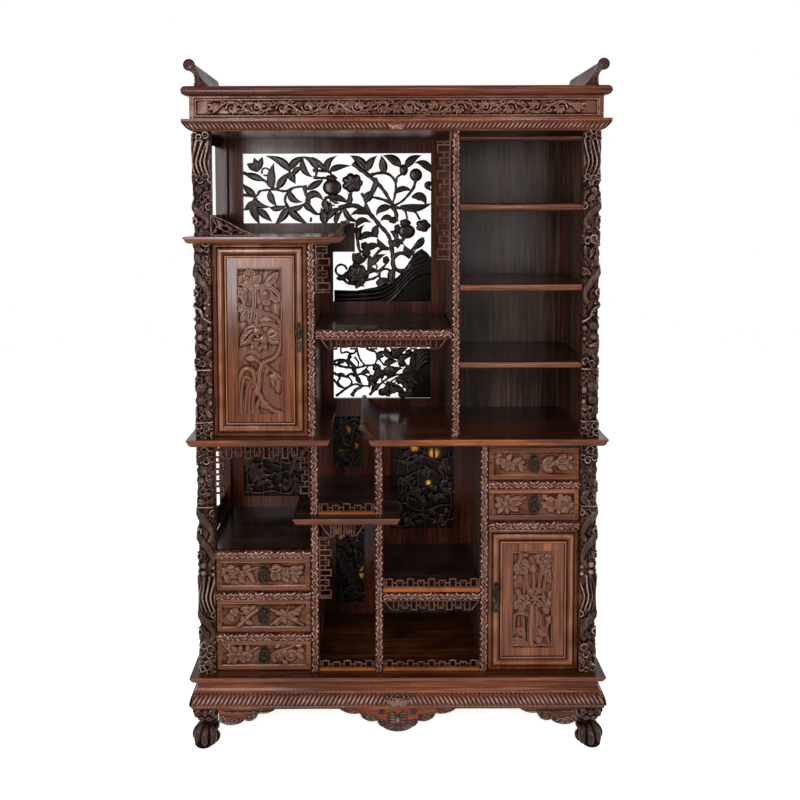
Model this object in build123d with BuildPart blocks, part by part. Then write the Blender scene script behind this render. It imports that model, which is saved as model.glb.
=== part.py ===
"""Carved display cabinet: a stepped case of open bays, five drawers and two cupboards.

x runs along the front, y goes back and z goes up. The origin is on the ground, under the middle
of the boards. Every size is in millimetres.
"""
import os

from build123d import *

os.makedirs("parts", exist_ok=True)

# Boards and case
board_width = 1300
board_depth = 450
side_overhang = 26
front_overhang = 28
rear_overhang = 10

# Heights of the storeys, from the ground up
foot_height = 139
base_moulding = 80
base_board = 22
lower_storey = 727
middle_board = 25
upper_storey = 947
cornice_height = 35
frieze_height = 70
top_board = 30

# Uprights
pillar = 52
rear_post = 40
post = 26
post_set_back = 7

# Bays, across: the bays between the named ones take what is left
drawer_bay = 300
narrow_bay = 176
right_bay = 286
cupboard_bay = 294
book_bay = 376
pillar_round = 9

# Heights of the shelves and openings
bottom_drawer = 99
drawer = 108
small_drawer = 105
rail = 25
hidden_rail = 12
step_shelf_height = 480
step_overhang = 51
low_shelf_height = 230
cupboard_height = 605
cupboard_board = 21
cupboard_overhang_left = 26
cupboard_overhang_right = 88
centre_shelf_height = 314
centre_board = 22
centre_lip = 7
book_heights = (212, 454, 702)
book_board = 23
book_set_forward = 7
lip_set_back = 5
head_rail = 15
head_rail_drop = 31
well_left = 38
well_gap = 120

# Walls, backs and their gaps
wall = 12
back_thickness = 15
dust_board = 10
carcass_board = 8
face_set_back = 17
gap = 1.5
running_gap = 0.5
openwork_thickness = 12
cornice_rail = 46
frieze_rail = 20
frieze_proud = 4
frieze_set_back = 22
guide_height = 22

# Edge moulding of the boards: a fillet, a small step and a quarter round under it
edge_fillet = 7
edge_step = 3
edge_inset = 15
edge_bulge = 3

# Base moulding, from its top down: plain band, hollow, sloping gadroon band and lip
moulding_width = 40
moulding_inset = 1
band_inset = 20
plain_band = 8
hollow_inset = 17
hollow_middle = 22
hollow_foot = 32
gadroon_inset = 9
lip_height = 12
lip_chamfer = 3

# Cornice: a fillet on top of a slope that runs in to the pillars
cornice_fillet = 7
cornice_slope = 25

# Feet: height and width of each section, from the knee under the moulding to the paw
leg_inset = 4
paw = 84
corner_block = 40
corner_share = 0.3
foot_sections = ((foot_height, 80), (118, paw), (84, 60), (58, 62), (24, paw), (0, 78))

# Aprons: each lobe of their cloud edge bulges through one point and ends at the next, both
# given as how far they are from the tip and how far below the moulding
apron_thickness = 16
apron_set_back = 20
side_apron = 33
bracket_reach = 184
bracket_lobes = (((20, 14), (60, 18)), ((72, 38), (104, 40)), ((130, 55), (bracket_reach, 44)))
pendant_half = 189
pendant_lobes = (((24, 16), (69, 20)), ((90, 42), (124, 44)), ((144, 66), (pendant_half, 79)))

# Scrolled ends: width at the foot, height, radius of the scroll, and how far it leans out
gable_scroll = (48, 75, 13, 14)
gable_inset = 59
gable_set_in = 20
cupboard_scroll = (30, 44, 8, 8)
cupboard_scroll_inset = 38
shelf_scroll = (46, 44, 9, 8)
shelf_scroll_inset = 34
flange_set_back = 12

# Frames round the pierced panels: left and right stile, foot and head rail
centre_frame = (48, 55, 31, 122)
left_frame = (42, 36, 65, 30)
well_frame = (38, 62, 58, 33)
narrow_frame = (45, 54, 40, 30)
right_frame = (42, 62, 80, 20)
eye_pitch = 52
eye_size = (22, 16)
panel_border = 6

# The stepped frame of the upper panel, which drops down beside the cupboard
high_frame = (52, 54, 30, 47)
low_stile = 48
low_foot_rail = 42
step_stile = 24
step_rail = 51

# Doors
door_thickness = 24
door_margin = 12
band_width = 24
band_rise = 4
bead_width = 8
bead_rise = 6
field_width = 30
field_end = 26
panel_back = 6
panel_sink = 3
panel_round = 7
moulding_slope = 25
hinge_gap = 3
hinge_height = 50
barrel_radius = 3
hinge_pin_radius = 1.5
hinge_leaf = 1.2
hinge_depth = 20
hinge_inset = 70
hinge_clearance = 0.2
knuckle_gap = 0.3

# Drawers
drawer_front = 22
drawer_side = 10
drawer_bottom = 7
drawer_back_gap = 38
side_gap = 2
drawer_border = 12
drawer_edge = 2
drawer_headroom = 14
bottom_inset = 4

# Ring pulls: the pin is pin_rise above the middle of a drawer's front
plate_thickness = 2
pull_plate = 12
pull_width = 34
pin_rise = 20
lock_plate = 8
lock_width = 22
drop_height = 44
drop_thickness = 4
ring_width = 4.5
ring_bar = 3.6
neck = 4.5
knuckle = 6
knuckle_radius = 3
lug = 2.5
lug_half = 3
pin_stand = 6.5
pin_radius = 1.4
pin_gap = 0.3

# Locks: an escutcheon with a keyhole below each door's pull
left_lock_height = 352
right_lock_height = 276
lock_drop = 70
escutcheon_half = 19
keyhole_radius = 3
keyhole_rise = 4
keyhole_slot = (3, 12)
slot_drop = 3

# Fretwork
fret_bar = 6
fret_thickness = 10
fret_pitch = 24
fret_set_back = 4
spur = 4
spur_share = 0.62
slant_bar = 8
slant = 22
strip_width = 46
plain_strip = 8
cupboard_strip = 155
book_strip = 365
bracket_width = 35
bracket_length = 119
apron_drop = 46
small_apron = 34
centre_apron_inset = 15
narrow_apron_inset = 26
narrow_strip = 40
narrow_strip_gap = 5
balustrade = 36
low_balustrade = 45
step_plinth = 6
floor_plinth = 8
low_plinth = 18

# Open left side: low rail with its uprights, head rail, and a corner bracket with two eyes
side_bracket = 62
side_head = 14
side_spaces = 9
corner_reach = 135
corner_rise = 68
corner_eyes = (((36, 26), (24, 14)), ((82, 15), (18, 8)))

# Levels, from the ground up
moulding_z = foot_height
base_z = moulding_z + base_moulding
floor_z = base_z + base_board
middle_z = floor_z + lower_storey
upper_z = middle_z + middle_board
cornice_z = upper_z + upper_storey
frieze_z = cornice_z + cornice_height
top_z = frieze_z + frieze_height
gable_z = top_z + top_board

# Lines across the front
board_x = board_width / 2
case_x = board_x - side_overhang
inner_x = case_x - pillar
post_a = -inner_x + drawer_bay
post_b = post_a + post + narrow_bay
post_c = inner_x - right_bay - post
post_d = -inner_x + cupboard_bay
post_e = inner_x - book_bay - post

# Lines from front to back
front_y = -board_depth / 2
rear_y = board_depth / 2
case_front = front_y + front_overhang
case_rear = rear_y - rear_overhang
back_y = case_rear - back_thickness
post_y = case_front + post_set_back
face_y = case_front + face_set_back
post_rear = post_y + post
drawer_length = back_y - drawer_back_gap - face_y - drawer_front
pillar_rear = case_front + pillar

# Levels inside the lower storey
rail_1 = floor_z + bottom_drawer
opening_2 = rail_1 + rail
rail_2 = opening_2 + drawer
opening_3 = rail_2 + rail
drawer_shelf = opening_3 + drawer
bay_floor = drawer_shelf + rail
step_z = floor_z + step_shelf_height
step_top = step_z + rail
low_z = floor_z + low_shelf_height
low_top = low_z + rail
drawer_5_top = middle_z - hidden_rail
drawer_5_z = drawer_5_top - small_drawer
rail_4 = drawer_5_z - rail
drawer_4_z = rail_4 - small_drawer
door_rail = drawer_4_z - rail

# Levels inside the upper storey
cupboard_z = upper_z + cupboard_height
cupboard_top = cupboard_z + cupboard_board
centre_z = upper_z + centre_shelf_height
centre_top = centre_z + centre_board


def block(x, y, z, mode=Mode.ADD):
    """Fill or cut the block between two x, two y and two z values in the open part."""
    with Locations(((x[0] + x[1]) / 2, (y[0] + y[1]) / 2, (z[0] + z[1]) / 2)):
        Box(x[1] - x[0], y[1] - y[0], z[1] - z[0], mode=mode)


def board(x, y, z):
    """A plain square-edged board."""
    with BuildPart() as piece:
        block(x, y, z)
    return piece.part


def save(name, pieces):
    """Write one node, which may be a group of separate pieces."""
    node = pieces[0] if len(pieces) == 1 else Compound(label=name, children=pieces)
    node.label = name
    export_step(node, f"parts/{name}.step")


# Edge profiles: each draws one edge from top to bottom at u, facing out (+1 or -1),
# and returns where its top and its bottom are
def plain_edge(u, z, out):
    Line((u, z[1]), (u, z[0]))
    return u, u


def round_edge(u, z, out):
    radius = (z[1] - z[0]) / 2
    inner = u - out * radius
    ThreePointArc((inner, z[1]), (u, z[1] - radius), (inner, z[0]))
    return inner, inner


def moulded_edge(u, z, out):
    """A fillet, a small step and a quarter round under it."""
    shoulder = (u - out * edge_step, z[1] - edge_fillet)
    foot = (u - out * edge_inset, z[0])
    bulge = (u - out * (edge_step + edge_bulge), (shoulder[1] + foot[1]) / 2 - edge_bulge / 3)
    Line((u, z[1]), (u, shoulder[1]))
    Line((u, shoulder[1]), shoulder)
    ThreePointArc(shoulder, bulge, foot)
    return u, foot[0]


def base_edge(u, z, out):
    """Plain band, hollow, sloping gadroon band and a lip at the foot."""
    band = u - out * band_inset
    lip = u - out * lip_chamfer
    hollow_start = (band, z[1] - plain_band)
    hollow_end = (u - out * gadroon_inset, z[1] - hollow_foot)
    lip_top = (u, z[0] + lip_height)
    lip_edge = (lip, z[0] + lip_height - lip_chamfer)
    Line((band, z[1]), hollow_start)
    ThreePointArc(hollow_start, (u - out * hollow_inset, z[1] - hollow_middle), hollow_end)
    Line(hollow_end, lip_top)
    Line(lip_top, lip_edge)
    Line(lip_edge, (lip, z[0]))
    return band, lip


def cornice_edge(u, z, out):
    foot = u - out * cornice_slope
    Line((u, z[1]), (u, z[1] - cornice_fillet))
    Line((u, z[1] - cornice_fillet), (foot, z[0]))
    return u, foot


def draw_section(u, z, first, second):
    """Draw the section of a board between its two edges, in the open line block."""
    top_a, foot_a = first(u[0], z, -1)
    top_b, foot_b = second(u[1], z, 1)
    Line((top_a, z[1]), (top_b, z[1]))
    Line((foot_a, z[0]), (foot_b, z[0]))


def edged_board(x, y, z, front, left, right):
    """A board with moulded edges: its long section and its cross section meet in mitred corners."""
    with BuildPart() as piece:
        with BuildSketch(Plane.YZ.offset(x[0])):
            with BuildLine():
                draw_section(y, z, front, plain_edge)
            make_face()
        extrude(amount=x[1] - x[0])
        with BuildSketch(Plane.XZ.offset(-y[1])):
            with BuildLine():
                draw_section(x, z, left, right)
            make_face()
        extrude(amount=y[1] - y[0], mode=Mode.INTERSECT)
    return piece.part


def mitred_rails(x, y, z, edge, width):
    """The front, left, right and rear rail of a moulded frame, mitred in front."""
    inner = (x[0] + width, x[1] - width)
    behind = y[0] + width
    plans = (
        ((x[0], y[0]), (x[1], y[0]), (inner[1], behind), (inner[0], behind)),
        ((x[0], y[0]), (inner[0], behind), (inner[0], y[1]), (x[0], y[1])),
        ((x[1], y[0]), (x[1], y[1]), (inner[1], y[1]), (inner[1], behind)),
        ((inner[0], y[1] - width), (inner[1], y[1] - width), (inner[1], y[1]), (inner[0], y[1])),
    )
    rails = []
    for corners in plans:
        with BuildPart() as piece:
            add(edged_board(x, y, z, edge, edge, edge))
            with BuildSketch(Plane.XY.offset(z[0])):
                Polygon(*corners, align=None)
            extrude(amount=z[1] - z[0], mode=Mode.INTERSECT)
        rails.append(piece.part)
    return rails


def half_round_post(x, z):
    """An upright with a half-round front, between the bays."""
    radius = post / 2
    with BuildPart() as piece:
        with BuildSketch(Plane.XY.offset(z[0])):
            with BuildLine():
                ThreePointArc((x, post_y + radius), (x + radius, post_y), (x + post, post_y + radius))
                Line((x, post_y + radius), (x, post_rear))
                Line((x, post_rear), (x + post, post_rear))
                Line((x + post, post_rear), (x + post, post_y + radius))
            make_face()
        extrude(amount=z[1] - z[0])
    return piece.part


def half_round_rail(x, z):
    """A rail with a half-round front, above or below a drawer or a door."""
    return edged_board(x, (post_y, post_rear), z, *front_round)


def corner_pillar(side, z):
    """A square pillar with rounded corners, at the left (-1) or right (+1) front corner."""
    with BuildPart() as piece:
        with BuildSketch(Plane.XY.offset(z[0])):
            with Locations((side * (case_x - pillar / 2), case_front + pillar / 2)):
                RectangleRounded(pillar, pillar, pillar_round)
        extrude(amount=z[1] - z[0])
    return piece.part


# Feet: a knee under the moulding, a narrow ankle and a paw that spreads on the ground
moulding_x = board_x - moulding_inset
moulding_front = front_y + moulding_inset
leg_x = board_x - leg_inset - paw / 2
leg_y = board_depth / 2 - leg_inset - paw / 2


def leg(side, end):
    """One leg: its foot, and the corner block inside the base moulding that carries it."""
    block_x = side * (moulding_x - moulding_width - corner_block / 2)
    front_block = moulding_front + moulding_width + corner_block / 2
    block_y = front_block if end < 0 else case_rear - moulding_width - corner_block / 2
    with BuildPart() as piece:
        for z, size in foot_sections:
            with BuildSketch(Plane.XY.offset(z)):
                with Locations((side * leg_x, end * leg_y)):
                    RectangleRounded(size, size, size * corner_share)
        loft(ruled=True)
        block(
            (block_x - corner_block / 2, block_x + corner_block / 2),
            (block_y - corner_block / 2, block_y + corner_block / 2),
            (moulding_z, base_z),
        )
    return piece.part


save("legs", [leg(side, end) for side in (-1, 1) for end in (-1, 1)])

# Base: four moulded rails, the shaped aprons below them and the board on top
moulding_range = ((-moulding_x, moulding_x), (moulding_front, case_rear), (moulding_z, base_z))
save("base_moulding", mitred_rails(*moulding_range, base_edge, moulding_width))


def cloud_edge(tip, lobes, side=1):
    """Draw a lobed edge from its tip inwards, in the open line block."""
    start = (tip, 0)
    for lobe in lobes:
        through, end = [(tip - along, -down) for along, down in lobe]
        ThreePointArc(*[(side * u, v) for u, v in (start, through, end)])
        start = end


def apron_bracket(side):
    """A shaped bracket that runs from a front foot along the underside of the moulding."""
    heel = bracket_lobes[-1][1][1]
    origin = (side * (leg_x - paw / 2), apron_y, moulding_z)
    with BuildPart() as piece:
        with BuildSketch(Plane(origin, x_dir=(-side, 0, 0), z_dir=(0, side, 0))):
            with BuildLine():
                Line((0, 0), (bracket_reach, 0))
                cloud_edge(bracket_reach, bracket_lobes)
                Line((0, -heel), (0, 0))
            make_face()
        extrude(amount=apron_thickness / 2, both=True)
    return piece.part


def apron_pendant():
    """The shaped pendant under the middle of the front."""
    with BuildPart() as piece:
        with BuildSketch(Plane((0, apron_y, moulding_z), x_dir=(1, 0, 0), z_dir=(0, -1, 0))):
            with BuildLine():
                for side in (-1, 1):
                    cloud_edge(pendant_half, pendant_lobes, side)
                Line((-pendant_half, 0), (pendant_half, 0))
            make_face()
        extrude(amount=apron_thickness / 2, both=True)
    return piece.part


def side_apron_board(side):
    """The plain apron between the two feet of one side."""
    middle = side * (board_x - apron_set_back)
    x = (middle - apron_thickness / 2, middle + apron_thickness / 2)
    return board(x, (paw / 2 - leg_y, leg_y - paw / 2), (moulding_z - side_apron, moulding_z))


apron_y = front_y + apron_set_back
aprons = [make(side) for side in (-1, 1) for make in (apron_bracket, side_apron_board)]
save("aprons", [apron_pendant(), *aprons])

all_moulded = (moulded_edge, moulded_edge, moulded_edge)
front_round = (round_edge, plain_edge, plain_edge)
save("base_board", [edged_board((-board_x, board_x), (front_y, rear_y), (base_z, floor_z), *all_moulded)])

# Uprights of the case
lower = (floor_z, middle_z)
upper = (upper_z, cornice_z)
save(
    "corner_pillars",
    [
        corner_pillar(-1, lower),
        corner_pillar(1, lower),
        corner_pillar(-1, (upper_z, cupboard_z)),
        corner_pillar(-1, (cupboard_top, cornice_z)),
        corner_pillar(1, upper),
    ],
)


def rear_upright(side, z):
    x = (side * case_x, side * (case_x - rear_post))
    return board((min(x), max(x)), (case_rear - rear_post, case_rear), z)


save("rear_posts", [rear_upright(side, z) for side in (-1, 1) for z in (lower, upper)])
save(
    "carved_posts",
    [
        half_round_post(post_a, (floor_z, step_z)),
        half_round_post(post_a, (step_top, middle_z)),
        half_round_post(post_b, (floor_z, step_z)),
        half_round_post(post_b, (step_top, middle_z)),
        half_round_post(post_c, lower),
        half_round_post(post_d, (upper_z, cupboard_z)),
        half_round_post(post_e, upper),
    ],
)

# Side panels and partitions: each stands behind its post or between pillar and rear post
side_wall = (case_x - rear_post / 2 - wall / 2, case_x - rear_post / 2 + wall / 2)
mirrored_wall = (-side_wall[1], -side_wall[0])
between_posts = (pillar_rear, case_rear - rear_post)


def partition(x, z):
    middle = x + post / 2
    return board((middle - wall / 2, middle + wall / 2), (post_rear, back_y), z)


save(
    "case_panels",
    [
        board(mirrored_wall, between_posts, (floor_z, drawer_shelf)),
        board(mirrored_wall, between_posts, (upper_z, cupboard_z)),
        board(side_wall, between_posts, lower),
        board(side_wall, between_posts, upper),
        partition(post_a, (floor_z, drawer_shelf)),
        partition(post_c, lower),
        partition(post_d, (upper_z, cupboard_z)),
        partition(post_e, upper),
    ],
)

# Carved rails, and the dust boards and guides that the drawers run on
left_bay = (-inner_x, post_a)
right_drawers = (post_c + post, inner_x)
head_rail_z = (cornice_z - head_rail_drop, cornice_z - head_rail_drop + head_rail)
save(
    "carved_rails",
    [
        half_round_rail(left_bay, (rail_1, opening_2)),
        half_round_rail(left_bay, (rail_2, opening_3)),
        half_round_rail(right_drawers, (rail_4, drawer_5_z)),
        half_round_rail(right_drawers, (door_rail, drawer_4_z)),
        board(right_drawers, (post_y, post_rear), (drawer_5_top, middle_z)),
        half_round_rail((post_e + post, inner_x), head_rail_z),
    ],
)

left_run = (-inner_x, post_a + post / 2 - wall / 2)
right_run = (post_c + post / 2 + wall / 2, inner_x)
left_guide = (-side_wall[0], -inner_x)
right_guide = (inner_x, side_wall[0])
dust = []
for x, floors in ((left_run, (opening_2, opening_3)), (right_run, (drawer_4_z, drawer_5_z))):
    dust += [board(x, (post_rear, back_y), (z - dust_board, z)) for z in floors]
for x, feet in ((left_guide, (floor_z, opening_2, opening_3)), (right_guide, (drawer_4_z, drawer_5_z))):
    dust += [board(x, between_posts, (z, z + guide_height)) for z in feet]
save("dust_boards", dust)

# Shelves of the lower storey
shelf_z = (drawer_shelf, bay_floor)
post_slot = (case_rear - rear_post, back_y)
with BuildPart() as shelf_over_drawers:
    add(edged_board((-side_wall[0], post_a + post), (post_y, back_y), shelf_z, *front_round))
    block((-side_wall[0], -inner_x), (post_y, pillar_rear), shelf_z, Mode.SUBTRACT)
    block((post_a, post_a + post), (post_y, post_rear), shelf_z, Mode.SUBTRACT)
    block((-case_x, -case_x + rear_post), post_slot, shelf_z, Mode.SUBTRACT)
low_shelf = edged_board((post_b + post, post_c), (post_y, back_y), (low_z, low_top), *front_round)
save("lower_shelves", [shelf_over_drawers.part, low_shelf])
step_x = (post_a - step_overhang, post_b + post + step_overhang)
save(
    "step_shelf",
    [edged_board(step_x, (front_y, back_y), (step_z, step_top), *all_moulded)],
)

# Middle boards, with the well between them, and the boards above
well_x = post_a + post + well_left
left_board = (-board_x, well_x)
right_board = (well_x + well_gap, board_x)
save(
    "middle_boards",
    [
        edged_board(x, (front_y, back_y), (middle_z, upper_z), *all_moulded)
        for x in (left_board, right_board)
    ],
)

cupboard_x = (-case_x - cupboard_overhang_left, post_d + post + cupboard_overhang_right)
cupboard_slab_z = (cupboard_z, cupboard_top)
with BuildPart() as cupboard_slab:
    add(edged_board(cupboard_x, (front_y, back_y), cupboard_slab_z, *all_moulded))
    block((-case_x, -case_x + rear_post), post_slot, cupboard_slab_z, Mode.SUBTRACT)
save("cupboard_top", [cupboard_slab.part])

with BuildPart() as centre_slab:
    add(edged_board((post_d + post, post_e), (post_y, back_y), (centre_z, centre_top), *front_round))
    block((post_d + post, post_e), (post_y + lip_set_back, post_rear), (centre_z - centre_lip, centre_z))
save("centre_shelf", [centre_slab.part])

book_x = (post_e + post / 2 + wall / 2, side_wall[0])
book_front = face_y - book_set_forward
bookshelves = []
for height in book_heights:
    z = (upper_z + height, upper_z + height + book_board)
    with BuildPart() as bookshelf:
        add(edged_board(book_x, (book_front, back_y), z, *front_round))
        block((book_x[0], post_e + post), (book_front, post_rear), z, Mode.SUBTRACT)
        block((inner_x, book_x[1]), (book_front, pillar_rear), z, Mode.SUBTRACT)
        block((case_x - rear_post, book_x[1]), post_slot, z, Mode.SUBTRACT)
    bookshelves.append(bookshelf.part)
save("bookshelves", bookshelves)

# Cornice, ceiling, frieze and top board
full_x = (-board_x, board_x)
save(
    "cornice",
    mitred_rails(full_x, (front_y, case_rear), (cornice_z, frieze_z), cornice_edge, cornice_rail),
)
save(
    "ceiling_board",
    [
        board(
            (-board_x + cornice_rail, board_x - cornice_rail),
            (front_y + cornice_rail, case_rear - cornice_rail),
            (cornice_z, cornice_z + carcass_board),
        )
    ],
)
frieze_x = (-case_x - frieze_proud, case_x + frieze_proud)
frieze_y = (front_y + frieze_set_back, case_rear)
save("frieze", mitred_rails(frieze_x, frieze_y, (frieze_z, top_z), plain_edge, frieze_rail))
save(
    "top_board",
    [edged_board(full_x, (front_y, rear_y), (top_z, gable_z), round_edge, round_edge, round_edge)],
)


# Scrolled ends: a flange that sweeps up and curls outwards
def scrolled_end(x_foot, z, out, sizes, y):
    """A flange on a board: its foot starts at x_foot, and the scroll leans the way of out."""
    width, height, scroll, lean = sizes
    centre = (x_foot + out * (width + lean), z + height - scroll)
    heel = (x_foot, z)
    toe = (x_foot + out * width, z)
    under = (centre[0] + out * scroll / 3, centre[1] - scroll / 2)
    shoulder = (centre[0] - out * scroll, centre[1])
    with BuildPart() as piece:
        with BuildSketch(Plane.XZ.offset(-y[1])):
            with BuildLine():
                Line(heel, toe)
                ThreePointArc(toe, (toe[0] + out, z + height / 2 - scroll / 4), under)
                Line(under, shoulder)
                ThreePointArc(shoulder, (x_foot + out * (width + scroll) / 2, z + height / 3), heel)
            make_face()
            with Locations(centre):
                Circle(scroll)
        extrude(amount=y[1] - y[0])
    return piece.part


gable_y = (front_y + gable_set_in, rear_y - gable_set_in)
flange_y = (front_y + flange_set_back, back_y)
gable_foot = case_x - gable_inset
cupboard_scroll_x = cupboard_x[1] - cupboard_scroll_inset
shelf_scroll_x = right_board[0] + shelf_scroll_inset
save(
    "scrolled_ends",
    [
        scrolled_end(-gable_foot, gable_z, -1, gable_scroll, gable_y),
        scrolled_end(gable_foot, gable_z, 1, gable_scroll, gable_y),
        scrolled_end(cupboard_scroll_x, cupboard_top, 1, cupboard_scroll, flange_y),
        scrolled_end(shelf_scroll_x, upper_z, -1, shelf_scroll, flange_y),
    ],
)

# Back: plain boards behind drawers, cupboards and books, frames round the pierced panels
back = (back_y, case_rear)
rear_left = -case_x + rear_post
rear_right = case_x - rear_post
line_a = post_a + post / 2
line_b = post_b + post / 2
line_c = post_c + post / 2
line_d = post_d + post / 2
line_e = post_e + post / 2
save(
    "back_boards",
    [
        board((rear_left, line_a), back, (floor_z, drawer_shelf)),
        board((line_b, line_c), back, (floor_z, low_z)),
        board((line_c, rear_right), back, lower),
        board((rear_left, line_d), back, (upper_z, cupboard_z)),
        board((line_e, rear_right), back, upper),
    ],
)


def opening(x, z, members):
    """What a frame leaves open: members gives its left and right stile, its foot and its head."""
    left, right, foot, head = members
    return (x[0] + left, x[1] - right), (z[0] + foot, z[1] - head)


def frame_members(x, z, members):
    """The stiles and rails that fill x by z round that opening."""
    hole_x, hole_z = opening(x, z, members)
    return [
        board((x[0], hole_x[0]), back, z),
        board((hole_x[1], x[1]), back, z),
        board(hole_x, back, (z[0], hole_z[0])),
        board(hole_x, back, (hole_z[1], z[1])),
    ]


def rectangle(x, z):
    return ((x[0], z[0]), (x[1], z[0]), (x[1], z[1]), (x[0], z[1]))


def openwork(outline):
    """A pierced panel: a plate with rows of pointed eyes through it."""
    xs = [u for u, v in outline]
    zs = [v for u, v in outline]
    centre = ((min(xs) + max(xs)) / 2, (min(zs) + max(zs)) / 2)
    columns = int((max(xs) - min(xs)) / eye_pitch)
    rows = int((max(zs) - min(zs)) / eye_pitch)
    with BuildPart() as piece:
        with BuildSketch(Plane.XZ.offset(-back_y - openwork_thickness)):
            Polygon(*outline, align=None)
            with BuildSketch(mode=Mode.PRIVATE) as margin:
                Polygon(*outline, align=None)
                offset(amount=-panel_border, kind=Kind.INTERSECTION)
            with BuildSketch(mode=Mode.PRIVATE) as eyes:
                with Locations(centre):
                    with GridLocations(eye_pitch, eye_pitch, columns, rows):
                        Ellipse(*eye_size)
            add(eyes.sketch & margin.sketch, mode=Mode.SUBTRACT)
        extrude(amount=openwork_thickness)
    return piece.part


# The upper panel is stepped: it drops down beside the cupboard
high_x, high_z = opening((rear_left, line_e), (cupboard_top, cornice_z), high_frame)
step_line = cupboard_x[1] + step_stile
low_left = line_d + low_stile
low_head = cupboard_z - step_rail
low_foot = centre_top + low_foot_rail
upper_outline = (
    (high_x[0], high_z[0]),
    (step_line, high_z[0]),
    (step_line, low_head),
    (low_left, low_head),
    (low_left, low_foot),
    (high_x[1], low_foot),
    (high_x[1], high_z[1]),
    (high_x[0], high_z[1]),
)
centre_bay = ((line_d, line_e), (upper_z, centre_top))
save(
    "back_frame_upper",
    [
        board((rear_left, high_x[0]), back, (cupboard_z, cornice_z)),
        board(high_x, back, (high_z[1], cornice_z)),
        board((high_x[1], line_e), back, (centre_top, cornice_z)),
        board((high_x[0], step_line), back, (cupboard_z, high_z[0])),
        board((line_d, step_line), back, (low_head, cupboard_z)),
        board((line_d, low_left), back, (centre_top, low_head)),
        board((low_left, high_x[1]), back, (centre_top, low_foot)),
        *frame_members(*centre_bay, centre_frame),
    ],
)
save(
    "pierced_panels_upper",
    [openwork(upper_outline), openwork(rectangle(*opening(*centre_bay, centre_frame)))],
)

lower_bays = (
    ((rear_left, line_a), (drawer_shelf, middle_z), left_frame),
    ((line_a, line_b), (step_z, upper_z), well_frame),
    ((line_a, line_b), (floor_z, step_z), narrow_frame),
    ((line_b, line_c), (low_z, middle_z), right_frame),
)
save("back_frame_lower", [member for bay in lower_bays for member in frame_members(*bay)])
save("pierced_panels_lower", [openwork(rectangle(*opening(*bay))) for bay in lower_bays])


# Fretwork: bands of square key pattern, cut from thin boards
fret_y = (post_y + fret_set_back, post_y + fret_set_back + fret_thickness)


def fret_band(x, z, upright=False, slanted=False, plinth=0):
    """A band of key fret. A slanted one has slanting ends; a plinth is a solid foot."""
    along, across = (z, x) if upright else (x, z)
    low = across[0] + plinth
    count = round((along[1] - along[0] - fret_bar) / fret_pitch)
    pitch = (along[1] - along[0] - fret_bar) / count
    reach = (across[1] - low) * spur_share

    def bar(a, b):
        u, v = (b, a) if upright else (a, b)
        with Locations(((u[0] + u[1]) / 2, (v[0] + v[1]) / 2)):
            Rectangle(u[1] - u[0], v[1] - v[0])

    with BuildPart() as piece:
        with BuildSketch(Plane.XZ.offset(-fret_y[1])):
            bar(along, (across[0], low + fret_bar))
            bar(along, (across[1] - fret_bar, across[1]))
            for i in range(count + 1):
                start = along[0] + i * pitch
                bar((start, start + fret_bar), across)
            for i in range(count):
                middle = along[0] + (i + 0.5) * pitch + fret_bar / 2
                side = (low, low + reach) if i % 2 else (across[1] - reach, across[1])
                bar((middle - spur / 2, middle + spur / 2), side)
            if slanted:
                Polygon(
                    (x[0], z[1]),
                    (x[0] + slant, z[0]),
                    (x[1] - slant, z[0]),
                    (x[1], z[1]),
                    align=None,
                    mode=Mode.INTERSECT,
                )
                for end, inward in ((x[0], 1), (x[1], -1)):
                    Polygon(
                        (end, z[1]),
                        (end + inward * slant, z[0]),
                        (end + inward * (slant + slant_bar), z[0]),
                        (end + inward * slant_bar, z[1]),
                        align=None,
                    )
        extrude(amount=fret_thickness)
    return piece.part


narrow_x = (post_a + post, post_b)
centre_x = (post_d + post, post_e)
low_bay_x = (post_b + post, post_c)
centre_apron_x = (centre_x[0] + centre_apron_inset, centre_x[1] - centre_apron_inset)
centre_apron_head = centre_z - centre_lip
cupboard_strip_x = (centre_x[0], centre_x[0] + strip_width)
book_strip_x = (centre_x[1] - strip_width - plain_strip, centre_x[1] - plain_strip)
book_strip_foot = cornice_z - head_rail_drop - book_strip
apron_foot = middle_z - apron_drop
bracket_z = (apron_foot - bracket_length, apron_foot)
narrow_foot = step_z - apron_drop
narrow_apron_x = (narrow_x[0], narrow_x[1] - narrow_apron_inset)
narrow_strip_x = (narrow_x[0], narrow_x[0] + narrow_strip)
save(
    "fretwork",
    [
        fret_band(cupboard_strip_x, (cupboard_z - cupboard_strip, cupboard_z), True),
        fret_band(book_strip_x, (book_strip_foot, cornice_z - head_rail_drop), True),
        board((book_strip_x[1], centre_x[1]), fret_y, (book_strip_foot, cornice_z)),
        fret_band(centre_apron_x, (centre_apron_head - small_apron, centre_apron_head), slanted=True),
        fret_band(left_bay, (apron_foot, middle_z)),
        fret_band((left_bay[0], left_bay[0] + bracket_width), bracket_z, True),
        fret_band((left_bay[1] - bracket_width, left_bay[1]), bracket_z, True),
        fret_band(narrow_apron_x, (narrow_foot, step_z), slanted=True),
        fret_band(narrow_strip_x, (low_z + narrow_strip_gap, narrow_foot), True),
        fret_band(low_bay_x, (low_z - small_apron, low_z), slanted=True),
    ],
)
save(
    "balustrades",
    [
        fret_band(narrow_x, (step_top, step_top + balustrade), plinth=step_plinth),
        fret_band(low_bay_x, (low_top, low_top + low_balustrade), plinth=low_plinth),
        fret_band(low_bay_x, (floor_z, floor_z + balustrade), plinth=floor_plinth),
        fret_band(narrow_x, (floor_z, floor_z + balustrade), plinth=floor_plinth),
    ],
)


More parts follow.
